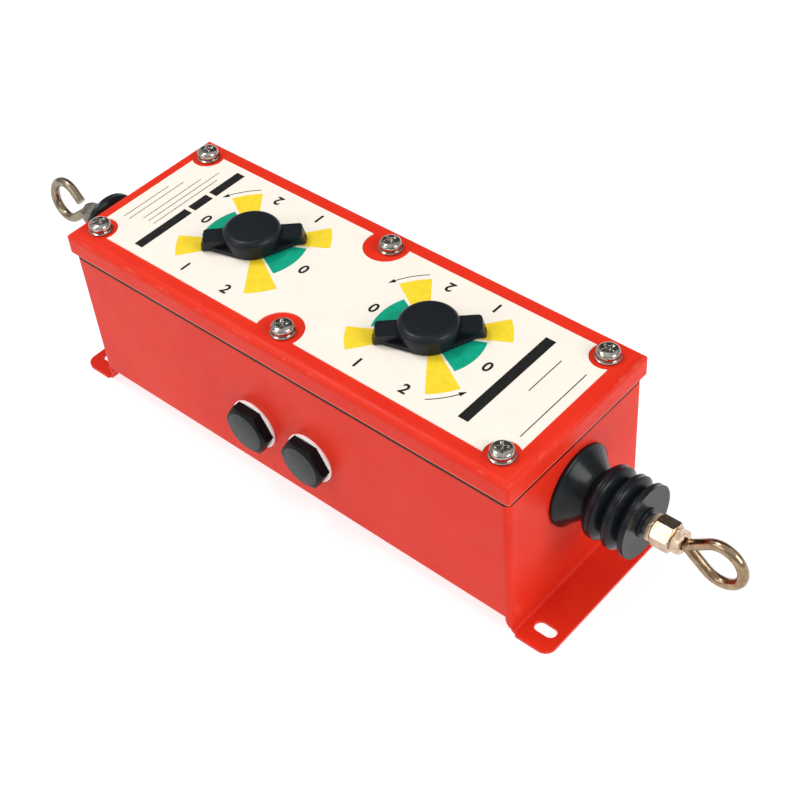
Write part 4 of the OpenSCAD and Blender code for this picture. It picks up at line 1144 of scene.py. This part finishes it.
class MakeEyes(SwitchOperator):
    """Bends the closed right eye and the open left eye from round wire."""
    bl_idname = "switch.eyes"
    bl_label = "Rope eyes"

    def execute(self, context):
        shank_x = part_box("rope_eye_right")[0].x
        neck_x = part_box("lock_nut_right")[1].x + EYE_NECK
        # The left eye's wire gets a darker, duller copy of the plate: a painted shade
        for side, coat, turn_deg in (("left", "wire_dull", LEFT_EYE_TURN), ("right", "wire", 0.0)):
            path, swell = eye_path(sizes(), neck_x - shank_x, side == "left")
            piece = wire("rope_loop_" + side, path, swell, sizes().wire_r, finishes[coat])
            turned(piece, END_TURN[side] @ Matrix.Translation((neck_x, 0.0, ROD_Z))
                   @ turn_about("X", turn_deg))
            settle(piece, "pull_" + side, ["rope_eye_" + side])
        return {"FINISHED"}


class MakeKnobs(SwitchOperator):
    """Moulds the two indicator knobs with their wings."""
    bl_idname = "switch.knobs"
    bl_label = "Indicator knobs"

    def execute(self, context):
        for side in SIDES:
            piece = knob_solid("knob_moulding_" + side)
            piece.data.materials.append(finishes["knob"])
            soften(piece, sizes().soft_edge, 3, KNOB_EDGE_DEG)
            piece.data.shade_smooth()
            turned(piece, Matrix.Translation((middle("spindle_" + side).x, 0.0, 0.0))
                   @ turn_about("Z", KNOB_ANGLE))
            settle(piece, "indicator_" + side, ["knob_" + side])
        return {"FINISHED"}


class MakeMechanism(SwitchOperator):
    """Finishes the parts inside, and winds the springs in place of the CAD ones."""
    bl_idname = "switch.mechanism"
    bl_label = "Mechanism"

    def execute(self, context):
        inside = {"mechanism_chassis": "steel"}
        for side in SIDES:
            for node, key in (("plug_locknut", "plug"), ("rod_bush", "brass"), ("bush_nut", "zinc"),
                              ("pull_rod", "steel"), ("spindle_bush", "nylon"),
                              ("spindle", "steel"), ("pinion", "brass"), ("cam", "nylon")):
                inside[f"{node}_{side}"] = key
            for state in ("pulled", "slack"):
                inside[f"contact_block_{side}_{state}"] = "block"
                inside[f"plunger_{side}_{state}"] = "plunger"
        for node, key in inside.items():
            paint_node(node, finishes[key])
        for side in SIDES:
            low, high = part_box("return_spring_" + side)
            near, far = (low.x, high.x) if side == "right" else (high.x, low.x)
            path = coil(near, far, (high.z - low.z) / 2 - SPRING_WIRE_R)
            piece = wire("wound_spring_" + side, path, [1.0] * len(path), SPRING_WIRE_R,
                         finishes["spring"], 10)
            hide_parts("return_spring_" + side)
            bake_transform(piece)
        return {"FINISHED"}


class MakeStage(SwitchOperator):
    """Sets the floor, the soft lights and the camera."""
    bl_idname = "switch.stage"
    bl_label = "Stage"

    def execute(self, context):
        scene = context.scene
        scene.view_settings.view_transform = "Standard"
        corners = [(x, y, 0) for x, y in plate(-FLOOR_HALF, -FLOOR_HALF, FLOOR_HALF, FLOOR_HALF)]
        floor = add_object("floor", mesh_of("floor", corners, faces=[(0, 1, 2, 3)]))
        # White paper sweep lit from below as well, so that shadows on it stay faint
        floor.data.materials.append(finish("Lit paper sweep", "#9A9A9A", "#969696", 300,
                                           (0.8, 0.9), [], IOR=1.3,
                                           Emission_Color=linear("#FFFFFF"),
                                           Emission_Strength=FLOOR_GLOW))
        self.light_sky(scene)
        for name, spot, aim, (wide, deep), power in LIGHTS:
            lamp = bpy.data.lights.new(name, "AREA")
            lamp.shape, lamp.size, lamp.size_y, lamp.energy = "RECTANGLE", wide, deep, power
            holder = add_object(name, lamp)
            holder.location = spot
            holder.rotation_euler = (Vector(aim) - Vector(spot)).to_track_quat("-Z", "Y").to_euler()
        lens = bpy.data.cameras.new("Camera")
        lens.sensor_width, lens.lens = 36.0, CAMERA_LENS
        camera = add_object("Camera", lens)
        ahead = Vector(CAMERA_AHEAD).normalized()
        right = ahead.cross(Vector(CAMERA_UP)).normalized()
        up = right.cross(ahead)
        camera.matrix_world = (Matrix.Translation(CAMERA_AT)
                               @ Matrix((right, up, -ahead)).transposed().to_4x4())
        scene.camera = camera
        return {"FINISHED"}

    def light_sky(self, scene):
        """Pale dome with a bright sweep round the horizon and a dark screen behind."""
        world = bpy.data.worlds.new("Pale studio")
        world.use_nodes = True
        tree = world.node_tree
        way = put(tree, "ShaderNodeTexCoord").outputs["Generated"]
        height = put(tree, "ShaderNodeSeparateXYZ", Vector=way).outputs["Z"]
        dome = put(tree, "ShaderNodeMapRange", Value=height, To_Min=HORIZON_LIGHT,
                   To_Max=ZENITH_LIGHT)
        toward = put(tree, "ShaderNodeVectorMath", "DOT_PRODUCT", at_0=way, at_1=SCREEN_WAY)
        screen = put(tree, "ShaderNodeMapRange", SMOOTH, Value=toward.outputs["Value"],
                     From_Min=SCREEN_EDGE[0], From_Max=SCREEN_EDGE[1], To_Min=1.0,
                     To_Max=SCREEN_LIGHT)
        screened = put(tree, "ShaderNodeMath", "MULTIPLY", at_0=dome, at_1=screen)
        sweep = put(tree, "ShaderNodeMapRange", SMOOTH, Value=height, From_Min=0.0,
                    From_Max=SWEEP_HIGH, To_Min=SWEEP_LIGHT, To_Max=0.0)
        light = put(tree, "ShaderNodeMath", "MAXIMUM", at_0=screened, at_1=sweep)
        tree.links.new(light.outputs[0], tree.nodes["Background"].inputs["Strength"])
        tree.nodes["Background"].inputs["Color"].default_value = linear("#FFFFFF")
        scene.world = world


OPERATORS = (MakeHousing, MakeLabel, MakeScrews, MakePlugs, MakeBoots, MakeRodEnds, MakeEyes,
             MakeKnobs, MakeMechanism, MakeStage)


class SwitchPanel(bpy.types.Panel):
    """Lists the operators in the order in which they are run."""
    bl_idname = "VIEW3D_PT_pull_switch"
    bl_label = "Rope pull switch"
    bl_space_type = "VIEW_3D"
    bl_region_type = "UI"
    bl_category = "Pull switch"

    def draw(self, context):
        for group in (context.scene.switch_sizes, context.scene.switch_colours):
            for key in group.bl_rna.properties.keys():
                if key not in ("rna_type", "name"):
                    self.layout.prop(group, key)
        for operator in OPERATORS:
            self.layout.operator(operator.bl_idname)


CLASSES = (SwitchSizes, SwitchColours, *OPERATORS, SwitchPanel)


def register():
    """Registers the classes and hangs their settings on the scene."""
    for cls in CLASSES:
        bpy.utils.register_class(cls)
    bpy.types.Scene.switch_sizes = PointerProperty(type=SwitchSizes)
    bpy.types.Scene.switch_colours = PointerProperty(type=SwitchColours)


def unregister():
    """Takes the settings and the classes away again."""
    del bpy.types.Scene.switch_colours
    del bpy.types.Scene.switch_sizes
    for cls in reversed(CLASSES):
        bpy.utils.unregister_class(cls)


def main():
    """Builds the whole switch."""
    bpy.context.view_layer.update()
    register()
    finishes.update(make_finishes())
    trees.update(spin=spin_tree(), wire=wire_tree(), scatter=scatter_tree())
    for operator in OPERATORS:
        group, action = operator.bl_idname.split(".")
        getattr(getattr(bpy.ops, group), action)()


if __name__ == "__main__":
    main()
